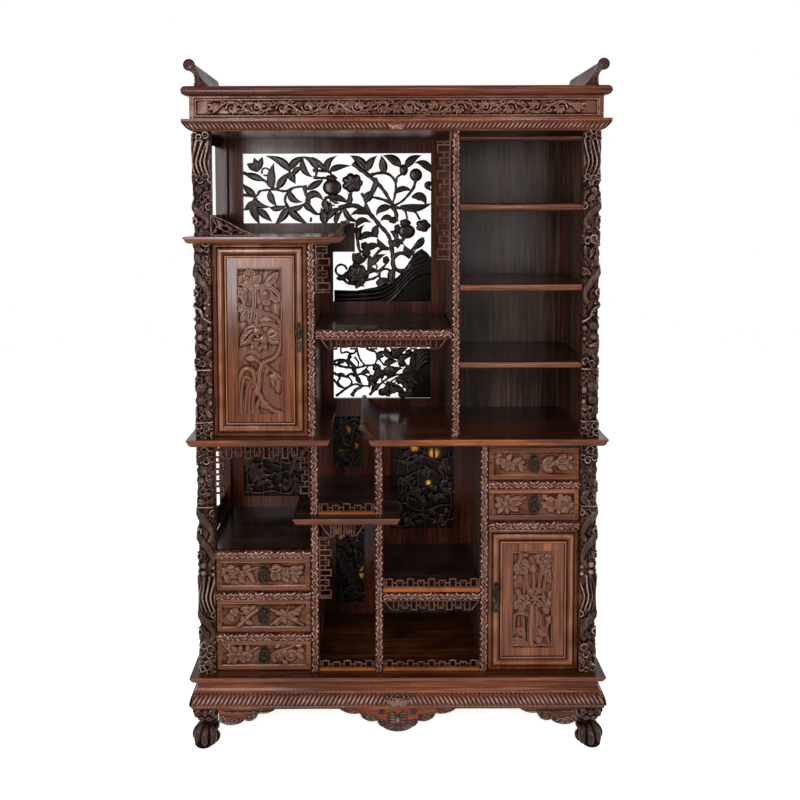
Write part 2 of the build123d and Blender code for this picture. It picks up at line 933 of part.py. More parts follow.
def side_fret(z_foot, z_head):
    """Low side rail with its uprights, and a head rail, in the open left side of a bay."""
    middle = -case_x + rear_post / 2
    x = (middle - fret_thickness / 2, middle + fret_thickness / 2)
    y = between_posts
    rail_z = z_foot + side_bracket - fret_bar
    pieces = [
        board(x, y, (z_foot, z_foot + fret_bar)),
        board(x, y, (rail_z, z_foot + side_bracket)),
        board(x, y, (z_head - side_head, z_head)),
    ]
    for i in range(side_spaces + 1):
        start = y[0] + i * (y[1] - y[0] - fret_bar) / side_spaces
        pieces.append(board(x, (start, start + fret_bar), (z_foot + fret_bar, rail_z)))
    return pieces


corner = (-inner_x, cupboard_top)
with BuildPart() as corner_fret:
    with BuildSketch(Plane.XZ.offset(-fret_y[1])):
        tips = ((corner[0] + corner_reach, corner[1]), (corner[0], corner[1] + corner_rise))
        Polygon(corner, *tips, align=None)
        for place, size in corner_eyes:
            with Locations((corner[0] + place[0], corner[1] + place[1])):
                Ellipse(*size, mode=Mode.SUBTRACT)
    extrude(amount=fret_thickness)
save("side_frets", [*side_fret(bay_floor, middle_z), *side_fret(cupboard_top, cornice_z), corner_fret.part])


# Ring pulls: a plate with two lugs and a pin, and a pierced drop that swings on the pin
def pull(x, z, y, plate):
    """The round plate, the lugs and the pin; the pin's centre is at z."""
    with BuildPart() as piece:
        with BuildSketch(Plane.XZ.offset(-y)):
            with Locations((x, z)):
                Circle(plate)
        extrude(amount=plate_thickness)
        for side in (-1, 1):
            start = x + side * (knuckle / 2 + pin_gap)
            end = start + side * lug
            lug_x = (min(start, end), max(start, end))
            block(lug_x, (y - pin_stand - lug_half, y), (z - lug_half, z + lug_half))
        with BuildSketch(Plane.YZ.offset(x)):
            with Locations((y - pin_stand, z)):
                Circle(pin_radius)
        extrude(amount=knuckle / 2 + pin_gap + lug / 2, both=True)
    return piece.part


def drop(x, z, y, width):
    """An oval ring with a knuckle round the pin and a bar down its middle."""
    y_pin = y - pin_stand
    centre = z - neck - drop_height / 2
    with BuildPart() as piece:
        with BuildSketch(Plane.XZ.offset(-y_pin - drop_thickness / 2)):
            with Locations((x, centre)):
                Ellipse(width / 2, drop_height / 2)
                Ellipse(width / 2 - ring_width, drop_height / 2 - ring_width, mode=Mode.SUBTRACT)
                Rectangle(ring_bar, drop_height - ring_width)
            with Locations((x, z - neck)):
                Rectangle(knuckle, 2 * neck)
        extrude(amount=drop_thickness)
        with BuildSketch(Plane.YZ.offset(x)):
            with Locations((y_pin, z)):
                Circle(knuckle_radius)
        extrude(amount=knuckle / 2, both=True)
        with BuildSketch(Plane.YZ.offset(x)):
            with Locations((y_pin, z)):
                Circle(pin_radius + pin_gap)
        extrude(amount=width, both=True, mode=Mode.SUBTRACT)
    return piece.part


# Drawers: a front with a sunk panel, a dovetailed box behind it, and a ring pull
def drawer_set(name, x, z):
    """One drawer in the opening x by z."""
    front_x = (x[0] + gap, x[1] - gap)
    front_z = (z[0] + gap, z[1] - gap)
    middle = ((x[0] + x[1]) / 2, (z[0] + z[1]) / 2)
    behind = face_y + drawer_front
    with BuildPart() as front:
        block(front_x, (face_y, behind), front_z)
        fillet(front.faces().sort_by(Axis.Y)[0].edges(), drawer_edge)
        with BuildSketch(Plane.XZ.offset(-face_y)):
            with Locations(middle):
                RectangleRounded(
                    front_x[1] - front_x[0] - 2 * drawer_border,
                    front_z[1] - front_z[0] - 2 * drawer_border,
                    panel_round,
                )
        extrude(amount=-panel_sink, mode=Mode.SUBTRACT)
    save(f"{name}_front", [front.part])

    inner = (x[0] + side_gap, x[1] - side_gap)
    inside = (inner[0] + drawer_side, inner[1] - drawer_side)
    foot = z[0] + running_gap
    head = z[1] - drawer_headroom
    end = behind + drawer_length
    bottom = foot + bottom_inset
    save(
        f"{name}_box",
        [
            board((inner[0], inside[0]), (behind, end), (foot, head)),
            board((inside[1], inner[1]), (behind, end), (foot, head)),
            board(inside, (end - drawer_side, end), (foot, head)),
            board(inside, (behind, end - drawer_side), (bottom, bottom + drawer_bottom)),
        ],
    )
    pin_z = middle[1] + pin_rise
    save(f"{name}_pull", [pull(middle[0], pin_z, face_y + panel_sink, pull_plate)])
    save(f"{name}_drop", [drop(middle[0], pin_z, face_y + panel_sink, pull_width)])


drawer_openings = (
    ("drawer_1", left_bay, (floor_z, rail_1)),
    ("drawer_2", left_bay, (opening_2, rail_2)),
    ("drawer_3", left_bay, (opening_3, drawer_shelf)),
    ("drawer_4", right_drawers, (drawer_4_z, rail_4)),
    ("drawer_5", right_drawers, (drawer_5_z, drawer_5_top)),
)
for name, x, z in drawer_openings:
    drawer_set(name, x, z)


# Doors: a moulded frame round a sunk carved panel, hung on butt hinges beside the pillar
member = door_margin + band_width + bead_width


def door(name, x, z):
    """The frame and the panel of one door."""
    y = (face_y, face_y + door_thickness)
    middle = ((x[0] + x[1]) / 2, (z[0] + z[1]) / 2)
    size = (x[1] - x[0], z[1] - z[0])
    panel_x = (x[0] + member, x[1] - member)
    panel_z = (z[0] + member, z[1] - member)
    with BuildPart() as frame:
        block(x, y, z)
        for margin, rise in ((door_margin, band_rise), (door_margin + band_width, bead_rise)):
            with BuildSketch(Plane.XZ.offset(-y[0])):
                with Locations(middle):
                    Rectangle(size[0] - 2 * margin, size[1] - 2 * margin)
            extrude(amount=rise, taper=moulding_slope)
        block(panel_x, y, panel_z, Mode.SUBTRACT)
        with BuildSketch(Plane.XZ.offset(-y[0])):
            with Locations(middle):
                Rectangle(size[0] - 2 * member, size[1] - 2 * member)
        extrude(amount=bead_rise, taper=-moulding_slope, mode=Mode.SUBTRACT)
    save(f"{name}_frame", [frame.part])
    with BuildPart() as panel:
        block(panel_x, (y[0], y[1] - panel_back), panel_z)
        with BuildSketch(Plane.XZ.offset(-y[0])):
            with Locations(middle):
                RectangleRounded(
                    size[0] - 2 * (member + field_width),
                    size[1] - 2 * (member + field_end),
                    panel_round,
                )
        extrude(amount=-panel_sink, mode=Mode.SUBTRACT)
    save(f"{name}_panel", [panel.part])


barrel_y = face_y - barrel_radius - running_gap


def hinge_part(x_wall, inward, z, fixed):
    """One leaf of a butt hinge with its knuckles. The fixed one carries the outer two and the pin."""
    third = hinge_height / 3
    near = x_wall if fixed else x_wall + inward * (hinge_gap - hinge_leaf)
    far = near + inward * hinge_leaf
    axis_x = x_wall + inward * (barrel_radius + hinge_clearance)
    outer = ((0, third - knuckle_gap), (2 * third + knuckle_gap, hinge_height))
    spans = outer if fixed else ((third, 2 * third),)
    with BuildPart() as piece:
        block((min(near, far), max(near, far)), (face_y, face_y + hinge_depth), (z, z + hinge_height))
        for low, high in spans:
            block((min(near, far), max(near, far)), (barrel_y, face_y), (z + low, z + high))
            with BuildSketch(Plane.XY.offset(z + low)):
                with Locations((axis_x, barrel_y)):
                    Circle(barrel_radius)
            extrude(amount=high - low)
        with BuildSketch(Plane.XY.offset(z)):
            with Locations((axis_x, barrel_y)):
                Circle(hinge_pin_radius if fixed else hinge_pin_radius + pin_gap)
        extrude(amount=hinge_height, mode=Mode.ADD if fixed else Mode.SUBTRACT)
    return piece.part


def escutcheon(x, z, y):
    """The oval plate with a keyhole; z is its middle."""
    with BuildPart() as piece:
        with BuildSketch(Plane.XZ.offset(-y)):
            with Locations((x, z)):
                Ellipse(lock_width / 2, escutcheon_half)
            with Locations((x, z + keyhole_rise)):
                Circle(keyhole_radius, mode=Mode.SUBTRACT)
            with Locations((x, z - slot_drop)):
                Rectangle(*keyhole_slot, mode=Mode.SUBTRACT)
        extrude(amount=plate_thickness)
    return piece.part


door_left_x = (-inner_x + hinge_gap, post_d - gap)
door_left_z = (upper_z + gap, cupboard_z - gap)
door_right_x = (post_c + post + gap, inner_x - hinge_gap)
door_right_z = (floor_z + gap, door_rail - gap)
lock_line = door_margin + band_width / 2
lock_y = face_y - band_rise
left_lock = (door_left_x[1] - lock_line, door_left_z[0] + left_lock_height)
right_lock = (door_right_x[0] + lock_line, door_right_z[0] + right_lock_height)
doors = (
    ("door_left", door_left_x, door_left_z, -inner_x, 1, left_lock),
    ("door_right", door_right_x, door_right_z, inner_x, -1, right_lock),
)
fixed_leaves = []
for name, x, z, wall_x, inward, place in doors:
    door(name, x, z)
    feet = (z[0] + hinge_inset, z[1] - hinge_inset - hinge_height)
    fixed_leaves += [hinge_part(wall_x, inward, foot, True) for foot in feet]
    save(f"{name}_hinges", [hinge_part(wall_x, inward, foot, False) for foot in feet])
    lock = [pull(*place, lock_y, lock_plate), escutcheon(place[0], place[1] - lock_drop, lock_y)]
    save(f"{name}_lock", lock)
    save(f"{name}_drop", [drop(*place, lock_y, lock_width)])
save("hinge_pins", fixed_leaves)
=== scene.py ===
import math
import random

import bmesh
import bpy
import numpy as np
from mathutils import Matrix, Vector


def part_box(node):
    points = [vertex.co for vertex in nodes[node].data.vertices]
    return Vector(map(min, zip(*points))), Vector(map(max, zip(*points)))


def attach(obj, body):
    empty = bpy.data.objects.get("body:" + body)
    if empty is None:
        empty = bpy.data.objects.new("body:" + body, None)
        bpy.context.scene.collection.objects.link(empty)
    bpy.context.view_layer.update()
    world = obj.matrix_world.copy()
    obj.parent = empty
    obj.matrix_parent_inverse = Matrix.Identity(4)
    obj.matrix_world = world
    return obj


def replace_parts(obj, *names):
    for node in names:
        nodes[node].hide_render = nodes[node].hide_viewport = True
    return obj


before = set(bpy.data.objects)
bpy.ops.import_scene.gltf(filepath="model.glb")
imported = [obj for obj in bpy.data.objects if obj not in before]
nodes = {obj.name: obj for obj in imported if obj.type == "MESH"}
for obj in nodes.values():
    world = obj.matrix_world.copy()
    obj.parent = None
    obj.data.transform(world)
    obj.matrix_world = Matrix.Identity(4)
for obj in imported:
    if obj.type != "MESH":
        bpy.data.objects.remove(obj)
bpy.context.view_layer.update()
mm = 0.001


def hexColour(code):
    parts = [int(code[i:i + 2], 16) / 255 for i in (1, 3, 5)]
    return tuple(p / 12.92 if p <= 0.04045 else ((p + 0.055) / 1.055) ** 2.4 for p in parts) + (1.0,)


def addNode(tree, kind, settings=None, inputs=None):
    node = tree.nodes.new(kind)
    for name, value in (settings or {}).items():
        setattr(node, name, value)
    for name, value in (inputs or {}).items():
        if isinstance(value, bpy.types.NodeSocket):
            tree.links.new(value, node.inputs[name])
        else:
            node.inputs[name].default_value = value
    return node


def rampColours(node, stops):
    while len(node.color_ramp.elements) > 1:
        node.color_ramp.elements.remove(node.color_ramp.elements[-1])
    node.color_ramp.elements[0].position = stops[0][0]
    node.color_ramp.elements[0].color = hexColour(stops[0][1])
    for place, code in stops[1:]:
        node.color_ramp.elements.new(place).color = hexColour(code)


def newMaterial(name):
    material = bpy.data.materials.new(name)
    material.use_nodes = True
    tree = material.node_tree
    tree.nodes.clear()
    shader = addNode(tree, "ShaderNodeBsdfPrincipled")
    addNode(tree, "ShaderNodeOutputMaterial", inputs={"Surface": shader.outputs[0]})
    return material, tree, shader


def newPiece(name, verts, faces, material, body="case", smooth=True, relief=None):
    mesh = bpy.data.meshes.new(name)
    mesh.from_pydata(verts, [], faces)
    if relief is not None:
        layer = mesh.attributes.new("relief", "FLOAT", "POINT")
        layer.data.foreach_set("value", np.asarray(relief, dtype=np.float32).ravel())
    work = bmesh.new()
    work.from_mesh(mesh)
    bmesh.ops.recalc_face_normals(work, faces=work.faces)
    work.to_mesh(mesh)
    work.free()
    mesh.polygons.foreach_set("use_smooth", [smooth] * len(mesh.polygons))
    mesh.materials.append(material)
    piece = bpy.data.objects.new(name, mesh)
    bpy.context.scene.collection.objects.link(piece)
    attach(piece, body)
    return piece


# The figure in the wood, in millimetres across the grain and along it, and the colour of its pores.
# Pores are about 0.6 mm wide, and are drawn at 1.2 mm so that they show.
woodFigure = {"streaks": (7, 190), "clouds": (70, 420), "pores": (1.2, 22), "poreColour": "#120706",
              "carvedStreaks": (8, 150), "patches": 60, "toolMarks": 3}


def stretchedAlong(tree, place, grain, sizes):
    scale = [1 / (sizes[axis == grain] * mm) for axis in "xyz"]
    return addNode(tree, "ShaderNodeMapping", inputs={"Vector": place, "Scale": scale}).outputs[0]


# Rosewood: dark heartwood under a rubbed lacquer, with streaks and short dark pores along the grain.
# edges are the colours of upright faces; flat tops keep the darker stops, which is painted shade on them.
def makeRosewood(name, grain, stops, roughness, gleam, poreDepth=0.25, edges=None):
    material, tree, shader = newMaterial(name)
    place = addNode(tree, "ShaderNodeTexCoord").outputs["Object"]
    streaks, clouds, pores = (
        addNode(tree, "ShaderNodeTexNoise", inputs=dict(
            given, Vector=stretchedAlong(tree, place, grain, woodFigure[figure]), Scale=1.0))
        for figure, given in (("streaks", {"Detail": 6.0, "Roughness": 0.62, "Distortion": 0.5}),
                              ("clouds", {"Detail": 2.0}), ("pores", {"Detail": 1.0})))
    blend = addNode(tree, "ShaderNodeMix", inputs={
        "Factor": 0.38, "A": streaks.outputs["Fac"], "B": clouds.outputs["Fac"]})
    tone = addNode(tree, "ShaderNodeValToRGB", inputs={"Fac": blend.outputs[0]})
    rampColours(tone, stops)
    if edges:
        normal = addNode(tree, "ShaderNodeNewGeometry").outputs["Normal"]
        upward = addNode(tree, "ShaderNodeSeparateXYZ", inputs={0: normal}).outputs["Z"]
        # painted shade: faces that look up get the darker stops, upright faces the lighter edge stops
        flat = addNode(tree, "ShaderNodeMapRange", inputs={"Value": upward, "From Min": 0.6, "From Max": 0.9})
        edgeTone = addNode(tree, "ShaderNodeValToRGB", inputs={"Fac": blend.outputs[0]})
        rampColours(edgeTone, edges)
        shadedFlatTone, tone = tone, addNode(tree, "ShaderNodeMix", {"data_type": "RGBA"}, {0: flat.outputs[0]})
        tree.links.new(edgeTone.outputs[0], tone.inputs[6])
        tree.links.new(shadedFlatTone.outputs[0], tone.inputs[7])
    dash = addNode(tree, "ShaderNodeMapRange", inputs={
        "Value": pores.outputs["Fac"], "From Min": 0.6, "From Max": 0.72, "To Min": 0.0, "To Max": 0.55})
    darker = addNode(tree, "ShaderNodeMix", {"data_type": "RGBA"})
    tree.links.new(dash.outputs[0], darker.inputs["Factor"])
    tree.links.new(tone.outputs[2 if edges else 0], darker.inputs[6])
    darker.inputs[7].default_value = hexColour(woodFigure["poreColour"])
    gloss = addNode(tree, "ShaderNodeMapRange", inputs={
        "Value": clouds.outputs["Fac"], "From Min": 0.3, "From Max": 0.7,
        "To Min": roughness - 0.05, "To Max": roughness + 0.08})
    bump = addNode(tree, "ShaderNodeBump", inputs={
        "Height": pores.outputs["Fac"], "Strength": poreDepth, "Distance": 0.3 * mm})
    tree.links.new(darker.outputs[2], shader.inputs["Base Color"])
    tree.links.new(gloss.outputs[0], shader.inputs["Roughness"])
    tree.links.new(bump.outputs[0], shader.inputs["Normal"])
    shader.inputs["Specular IOR Level"].default_value = gleam
    return material


# Carved rosewood: darker in the hollows, which is polish gathered there and painted shade, and lighter on the
# high places, which is a painted highlight.
# The relief attribute is how high a point stands above what is round it, about 0.4 where it is level.
def makeCarved(name, hollowShade, middle, high, roughness, grain="z", gleam=0.3, polish=0.85):
    material, tree, shader = newMaterial(name)
    place = addNode(tree, "ShaderNodeTexCoord").outputs["Object"]
    depth = addNode(tree, "ShaderNodeAttribute", {"attribute_name": "relief"}).outputs["Fac"]
    stretched = stretchedAlong(tree, place, grain, woodFigure["carvedStreaks"])
    streaks = addNode(tree, "ShaderNodeTexNoise", inputs={"Vector": stretched, "Scale": 1.0, "Detail": 5.0})
    patches, toolMarks = (
        addNode(tree, "ShaderNodeTexNoise", inputs={"Vector": place, "Scale": 1 / (size * mm), "Detail": 3.0})
        for size in (woodFigure["patches"], woodFigure["toolMarks"]))
    colours = addNode(tree, "ShaderNodeMix", inputs={
        "Factor": 0.5, "A": streaks.outputs["Fac"], "B": patches.outputs["Fac"]})
    shift = addNode(tree, "ShaderNodeMapRange", inputs={
        "Value": colours.outputs[0], "From Min": 0.35, "From Max": 0.65, "To Min": -0.15, "To Max": 0.15})
    level = addNode(tree, "ShaderNodeMath", {"operation": "ADD"}, {0: depth, 1: shift.outputs[0]})
    tone = addNode(tree, "ShaderNodeValToRGB", inputs={"Fac": level.outputs[0]})
    # painted shade from hollowShade in the hollows, painted highlight from high on the high places
    rampColours(tone, ((0.18, hollowShade), (0.42, middle), (0.62, middle), (0.98, high)))
    bump = addNode(tree, "ShaderNodeBump", inputs={
        "Height": toolMarks.outputs["Fac"], "Strength": 0.3, "Distance": 0.5 * mm})
    gloss = addNode(tree, "ShaderNodeMapRange", inputs={
        "Value": level.outputs[0], "From Min": 0.2, "From Max": 0.55, "To Min": 0.6, "To Max": roughness})
    sheen = addNode(tree, "ShaderNodeMapRange", inputs={
        "Value": level.outputs[0], "From Min": 0.3, "From Max": polish, "To Min": 0.03, "To Max": gleam})
    tree.links.new(tone.outputs[0], shader.inputs["Base Color"])
    tree.links.new(gloss.outputs[0], shader.inputs["Roughness"])
    shader.inputs["Specular IOR Level"].default_value = gleam
    tree.links.new(sheen.outputs[0], shader.inputs["Specular IOR Level"])
    tree.links.new(bump.outputs[0], shader.inputs["Normal"])
    return material


# Patinated bronze: dark brown metal, rubbed lighter in patches
def makeBronze():
    material, tree, shader = newMaterial("patinatedBronze")
    place = addNode(tree, "ShaderNodeTexCoord").outputs["Object"]
    patina = addNode(tree, "ShaderNodeTexNoise", inputs={
        "Vector": place, "Scale": 1 / (6 * mm), "Detail": 4.0})
    tone = addNode(tree, "ShaderNodeValToRGB", inputs={"Fac": patina.outputs["Fac"]})
    rampColours(tone, ((0.35, "#13100d"), (0.55, "#29221b"), (0.7, "#4a3e30")))
    tree.links.new(tone.outputs[0], shader.inputs["Base Color"])
    shader.inputs["Metallic"].default_value = 0.9
    shader.inputs["Roughness"].default_value = 0.42
    return material


darkStops = ((0.33, "#120503"), (0.46, "#2a1008"), (0.57, "#431e0e"), (0.7, "#66371f"))
warmStops = ((0.33, "#2c1008"), (0.46, "#502815"), (0.57, "#6d3c22"), (0.7, "#945b37"))
topStops = ((0.33, "#1b0803"), (0.46, "#3d1708"), (0.57, "#5a270f"), (0.7, "#7f4520"))
floorStops = ((0.33, "#0d0705"), (0.46, "#1a110c"), (0.57, "#2b1c15"), (0.7, "#402d23"))
ledgeStops = ((0.33, "#110804"), (0.46, "#271208"), (0.57, "#3f1e0c"), (0.7, "#5c3519"))
mouldingStops = ((0.33, "#200a04"), (0.46, "#48200c"), (0.57, "#6d371a"), (0.7, "#985b30"))
innerStops = ((0.33, "#180e0a"), (0.46, "#30211a"), (0.57, "#473429"), (0.7, "#664e40"))
boxStops = ((0.3, "#6b4a2d"), (0.5, "#86603c"), (0.78, "#a57c50"))      # the drawers' boxes are pale and bare
finishes = {
    "upright": makeRosewood("lacqueredRosewoodUpright", "z", darkStops, 0.2, 0.15, 0.12),
    "across": makeRosewood("lacqueredRosewoodAcross", "x", darkStops, 0.26, 0.12, 0.05),
    "inner": makeRosewood("rubbedRosewoodBack", "z", innerStops, 0.22, 0.1, 0.08),
    "moulding": makeRosewood("lacqueredRosewoodMoulding", "x", mouldingStops, 0.18, 0.15, 0.12),
    "flange": makeRosewood("rubbedRosewoodFlange", "z", darkStops, 0.38, 0.08, 0.1),
    "shelf": makeRosewood("polishedRosewoodShelf", "x", floorStops, 0.17, 0.24, 0.0, mouldingStops),
    "ledge": makeRosewood("polishedRosewoodLedge", "x", ledgeStops, 0.17, 0.24, 0.0, mouldingStops),
    "top": makeRosewood("wornRosewoodTop", "x", topStops, 0.18, 0.15, 0.12),
    "door": makeRosewood("waxedRosewoodDoor", "z", warmStops, 0.2, 0.22, 0.1),
    "drawer": makeRosewood("waxedRosewoodDrawer", "x", warmStops, 0.22, 0.16, 0.12),
    "inside": makeRosewood("bareCamphorwood", "y", boxStops, 0.6, 0.2),
    "carved": makeCarved("carvedRosewood", "#050302", "#301a11", "#8f7060", 0.14, gleam=0.36),
    "carvedWarm": makeCarved("carvedRosewoodWarm", "#050201", "#4e2a18", "#5d3a27", 0.16, "z", 0.34, 0.5),
    "doorMoulding": makeCarved("mouldedRosewoodDoor", "#080302", "#4a2411", "#825437", 0.15, gleam=0.26),
    "drawerCarving": makeCarved(
        "carvedRosewoodDrawer", "#050201", "#4a2614", "#624130", 0.15, "x", 0.34, 0.5),
    "friezeCarving": makeCarved(
        "carvedRosewoodFrieze", "#0c0402", "#4c2413", "#7d5a48", 0.16, "x", 0.34, 0.5),
    "scrollCarving": makeCarved("carvedRosewoodScroll", "#1a0a06", "#532e22", "#8d6a5c", 0.13, gleam=0.5),
    "openwork": makeCarved("piercedRosewood", "#010101", "#0c0604", "#2f1d16", 0.15, gleam=0.14),
    "plinth": makeCarved("orangeRosewoodPlinth", "#3a190a", "#6b3514", "#93541f", 0.26, "x", 0.15),
    "fret": makeCarved("frettedRosewood", "#060302", "#301509", "#6b4430", 0.15, "x", 0.34),
    "bronze": makeBronze(),
}
nodeFinish = {
    "upright": ("rear_posts", "back_frame_upper", "back_frame_lower", "corner_pillars", "carved_posts"),
    "inner": ("case_panels", "back_boards"),
    "across": ("ceiling_board", "dust_boards", "carved_rails"),
    "moulding": ("base_moulding", "cornice", "frieze", "aprons"),
    "flange": ("scrolled_ends",),
    "ledge": ("base_board", "middle_boards"),
    "shelf": ("cupboard_top", "lower_shelves", "step_shelf", "centre_shelf", "bookshelves"),
    "top": ("top_board",),
    "carved": ("fretwork", "balustrades", "side_frets", "legs", "pierced_panels_upper",
               "pierced_panels_lower"),
}
for node in nodes.values():
    kind = next((k for k, names in nodeFinish.items() if node.name in names), None)
    if kind is None:
        ends = (("_box", "inside"), ("_front", "drawer"), ("_frame", "door"), ("_panel", "door"))
        kind = next((k for end, k in ends if node.name.endswith(end)), "bronze")
    node.data.materials.clear()
    node.data.materials.append(finishes[kind])
print("finishes made")


view = {"lens": 38.7, "shift": (0.0252, -0.1911), "place": (-0.0521, -2.830, 1.7294),
        "turn": (math.pi / 2 - 0.0547, 0.003, -0.0003)}
camera = bpy.data.objects.new("camera", bpy.data.cameras.new("camera"))
camera.data.sensor_width = 36
camera.data.lens = view["lens"]
camera.data.shift_x, camera.data.shift_y = view["shift"]
camera.location = view["place"]
camera.rotation_euler = view["turn"]
bpy.context.scene.collection.objects.link(camera)
bpy.context.scene.camera = camera
bpy.context.scene.view_settings.view_transform = "Standard"

studio = {"floorSize": 14.0, "world": 0.2, "floorGlow": 0.8, "lampsAimAt": (0, 0, 1.1)}


# 1 for rays from the camera, for reflections and for what shows through glass
def directlySeen(tree):
    path = addNode(tree, "ShaderNodeLightPath").outputs
    seen = path["Is Camera Ray"]
    for ray in ("Is Glossy Ray", "Is Transmission Ray"):
        seen = addNode(tree, "ShaderNodeMath", {"operation": "MAXIMUM"}, {0: seen, 1: path[ray]}).outputs[0]
    return seen


floorMesh = bpy.data.meshes.new("floor")
half = studio["floorSize"] / 2
corners = [(x * half, y * half, 0) for x, y in ((-1, -1), (1, -1), (1, 1), (-1, 1))]
floorMesh.from_pydata(corners, [], [(0, 1, 2, 3)])
floor = bpy.data.objects.new("floor", floorMesh)
bpy.context.scene.collection.objects.link(floor)
material, tree, shader = newMaterial("paleFloor")
shader.inputs["Base Color"].default_value = hexColour("#f2f1ef")
shader.inputs["Roughness"].default_value = 0.8
shader.inputs["Emission Color"].default_value = (1, 1, 1, 1)
glow = addNode(tree, "ShaderNodeMath", {"operation": "MULTIPLY"}, {
    0: directlySeen(tree), 1: studio["floorGlow"]})
tree.links.new(glow.outputs[0], shader.inputs["Emission Strength"])
floorMesh.materials.append(material)

world = bpy.data.worlds.new("studio")
bpy.context.scene.world = world
world.use_nodes = True
tree = world.node_tree
tree.nodes.clear()
softLight = addNode(tree, "ShaderNodeBackground", inputs={
    "Color": hexColour("#eef1f4"), "Strength": studio["world"]})
backdrop = addNode(tree, "ShaderNodeBackground", inputs={"Color": (1, 1, 1, 1), "Strength": 1.0})
pick = addNode(tree, "ShaderNodeMixShader", inputs={0: directlySeen(tree)})
tree.links.new(softLight.outputs[0], pick.inputs[1])
tree.links.new(backdrop.outputs[0], pick.inputs[2])
addNode(tree, "ShaderNodeOutputWorld", inputs={"Surface": pick.outputs[0]})

lamps = {                                                   # place, width and height, watts
    "softbox": ((-0.9, -2.8, 1.7), (0.6, 1.35), 46),
    "stripFront": ((0.77, -2.8, 1.75), (0.22, 1.4), 14),
    "stripLeft": ((-2.5, -2.0, 1.9), (0.17, 2.1), 50),
    "stripRight": ((2.6, -2.0, 1.7), (0.17, 2.1), 44),
    "stripAbove": ((0.3, -2.0, 3.5), (2.3, 0.17), 27),
}
for name, (place, size, power) in lamps.items():
    lamp = bpy.data.objects.new(name, bpy.data.lights.new(name, "AREA"))
    lamp.data.shape = "RECTANGLE"
    lamp.data.size, lamp.data.size_y = size
    lamp.data.energy = power
    lamp.location = place
    lamp.rotation_euler = (Vector(studio["lampsAimAt"]) - Vector(place)).to_track_quat("-Z", "Y").to_euler()
    bpy.context.scene.collection.objects.link(lamp)
print("stage set")


# Carving is a height field in millimetres, and each motif is stamped on it

def newField(width, height, step):
    u = np.linspace(0, width, max(2, round(width / step)) + 1)
    v = np.linspace(0, height, max(2, round(height / step)) + 1)
    return {"u": u, "v": v, "h": np.zeros((len(v), len(u)))}


def stamp(field, x, y, reach, shape):
    u, v = field["u"], field["v"]
    a, b = np.searchsorted(u, (x - reach, x + reach))
    c, d = np.searchsorted(v, (y - reach, y + reach))
    if a < b and c < d:
        dx, dy = np.meshgrid(u[a:b] - x, v[c:d] - y)
        window = field["h"][c:d, a:b]
        np.maximum(window, shape(dx, dy), out=window)


def leafMotif(field, x, y, angle, length, width, rise, bend=0.0):
    c, s = math.cos(angle), math.sin(angle)

    def shape(dx, dy):
        along = (dx * c + dy * s) / length
        aside = -dx * s + dy * c - bend * length * along ** 2
        safe = np.clip(along, 0, 1)
        half = np.maximum(width / 2 * np.sin(np.pi * safe ** 0.8), 1e-6)
        edge = np.clip(np.abs(aside) / half, 0, 1)
        body = 0.45 + 0.55 * np.sqrt(1 - edge ** 2)
        rib = 0.32 * np.exp(-(aside / (0.1 * width)) ** 2)
        veins = 0.07 * np.sin((along * length - np.abs(aside)) * 2 * np.pi / (0.16 * length))
        inside = (along > 0) & (along < 1) & (np.abs(aside) < half)
        return np.where(inside, rise * (body - rib + veins), 0)

    stamp(field, x, y, length * (1.05 + abs(bend)), shape)


def blossomMotif(field, x, y, radius, petals, rise, turn=0.0):
    for share, lift in ((1.0, 0.72), (0.62, 1.0)):
        def shape(dx, dy, size=radius * share, lift=lift, phase=turn + share):
            r, a = np.hypot(dx, dy), np.arctan2(dy, dx) + phase
            lobe = np.abs(np.cos(petals * a / 2))
            edge = size * (0.66 + 0.34 * lobe ** 0.5)
            body = (0.5 + 0.5 * np.sqrt(np.clip(1 - (r / edge) ** 2, 0, 1))) * (0.72 + 0.28 * lobe)
            return np.where(r < edge, rise * lift * body, 0)

        stamp(field, x, y, radius * share, shape)
    knobMotif(field, x, y, radius * 0.22, rise * 1.15)


def knobMotif(field, x, y, radius, rise, hatch=0.0):
    def shape(dx, dy):
        r = np.hypot(dx, dy) / radius
        skin = hatch * np.sin(dx * 6.3 / 3.2) * np.sin(dy * 6.3 / 3.2)
        return np.where(r < 1, rise * (np.sqrt(np.clip(1 - r ** 2, 0, 1)) + skin), 0)

    stamp(field, x, y, radius, shape)


def smoothPath(points, gap):
    pts = np.array(points, float)
    pts = np.vstack([2 * pts[0] - pts[1], pts, 2 * pts[-1] - pts[-2]])
    out = []
    for i in range(1, len(pts) - 2):
        p0, p1, p2, p3 = pts[i - 1:i + 3]
        count = max(2, int(np.linalg.norm(p2 - p1) / gap))
        for t in np.arange(count) / count:
            out.append(0.5 * (2 * p1 + (p2 - p0) * t + (2 * p0 - 5 * p1 + 4 * p2 - p3) * t ** 2
                              + (3 * p1 - p0 - 3 * p2 + p3) * t ** 3))
    out.append(pts[-2])
    return np.array(out)


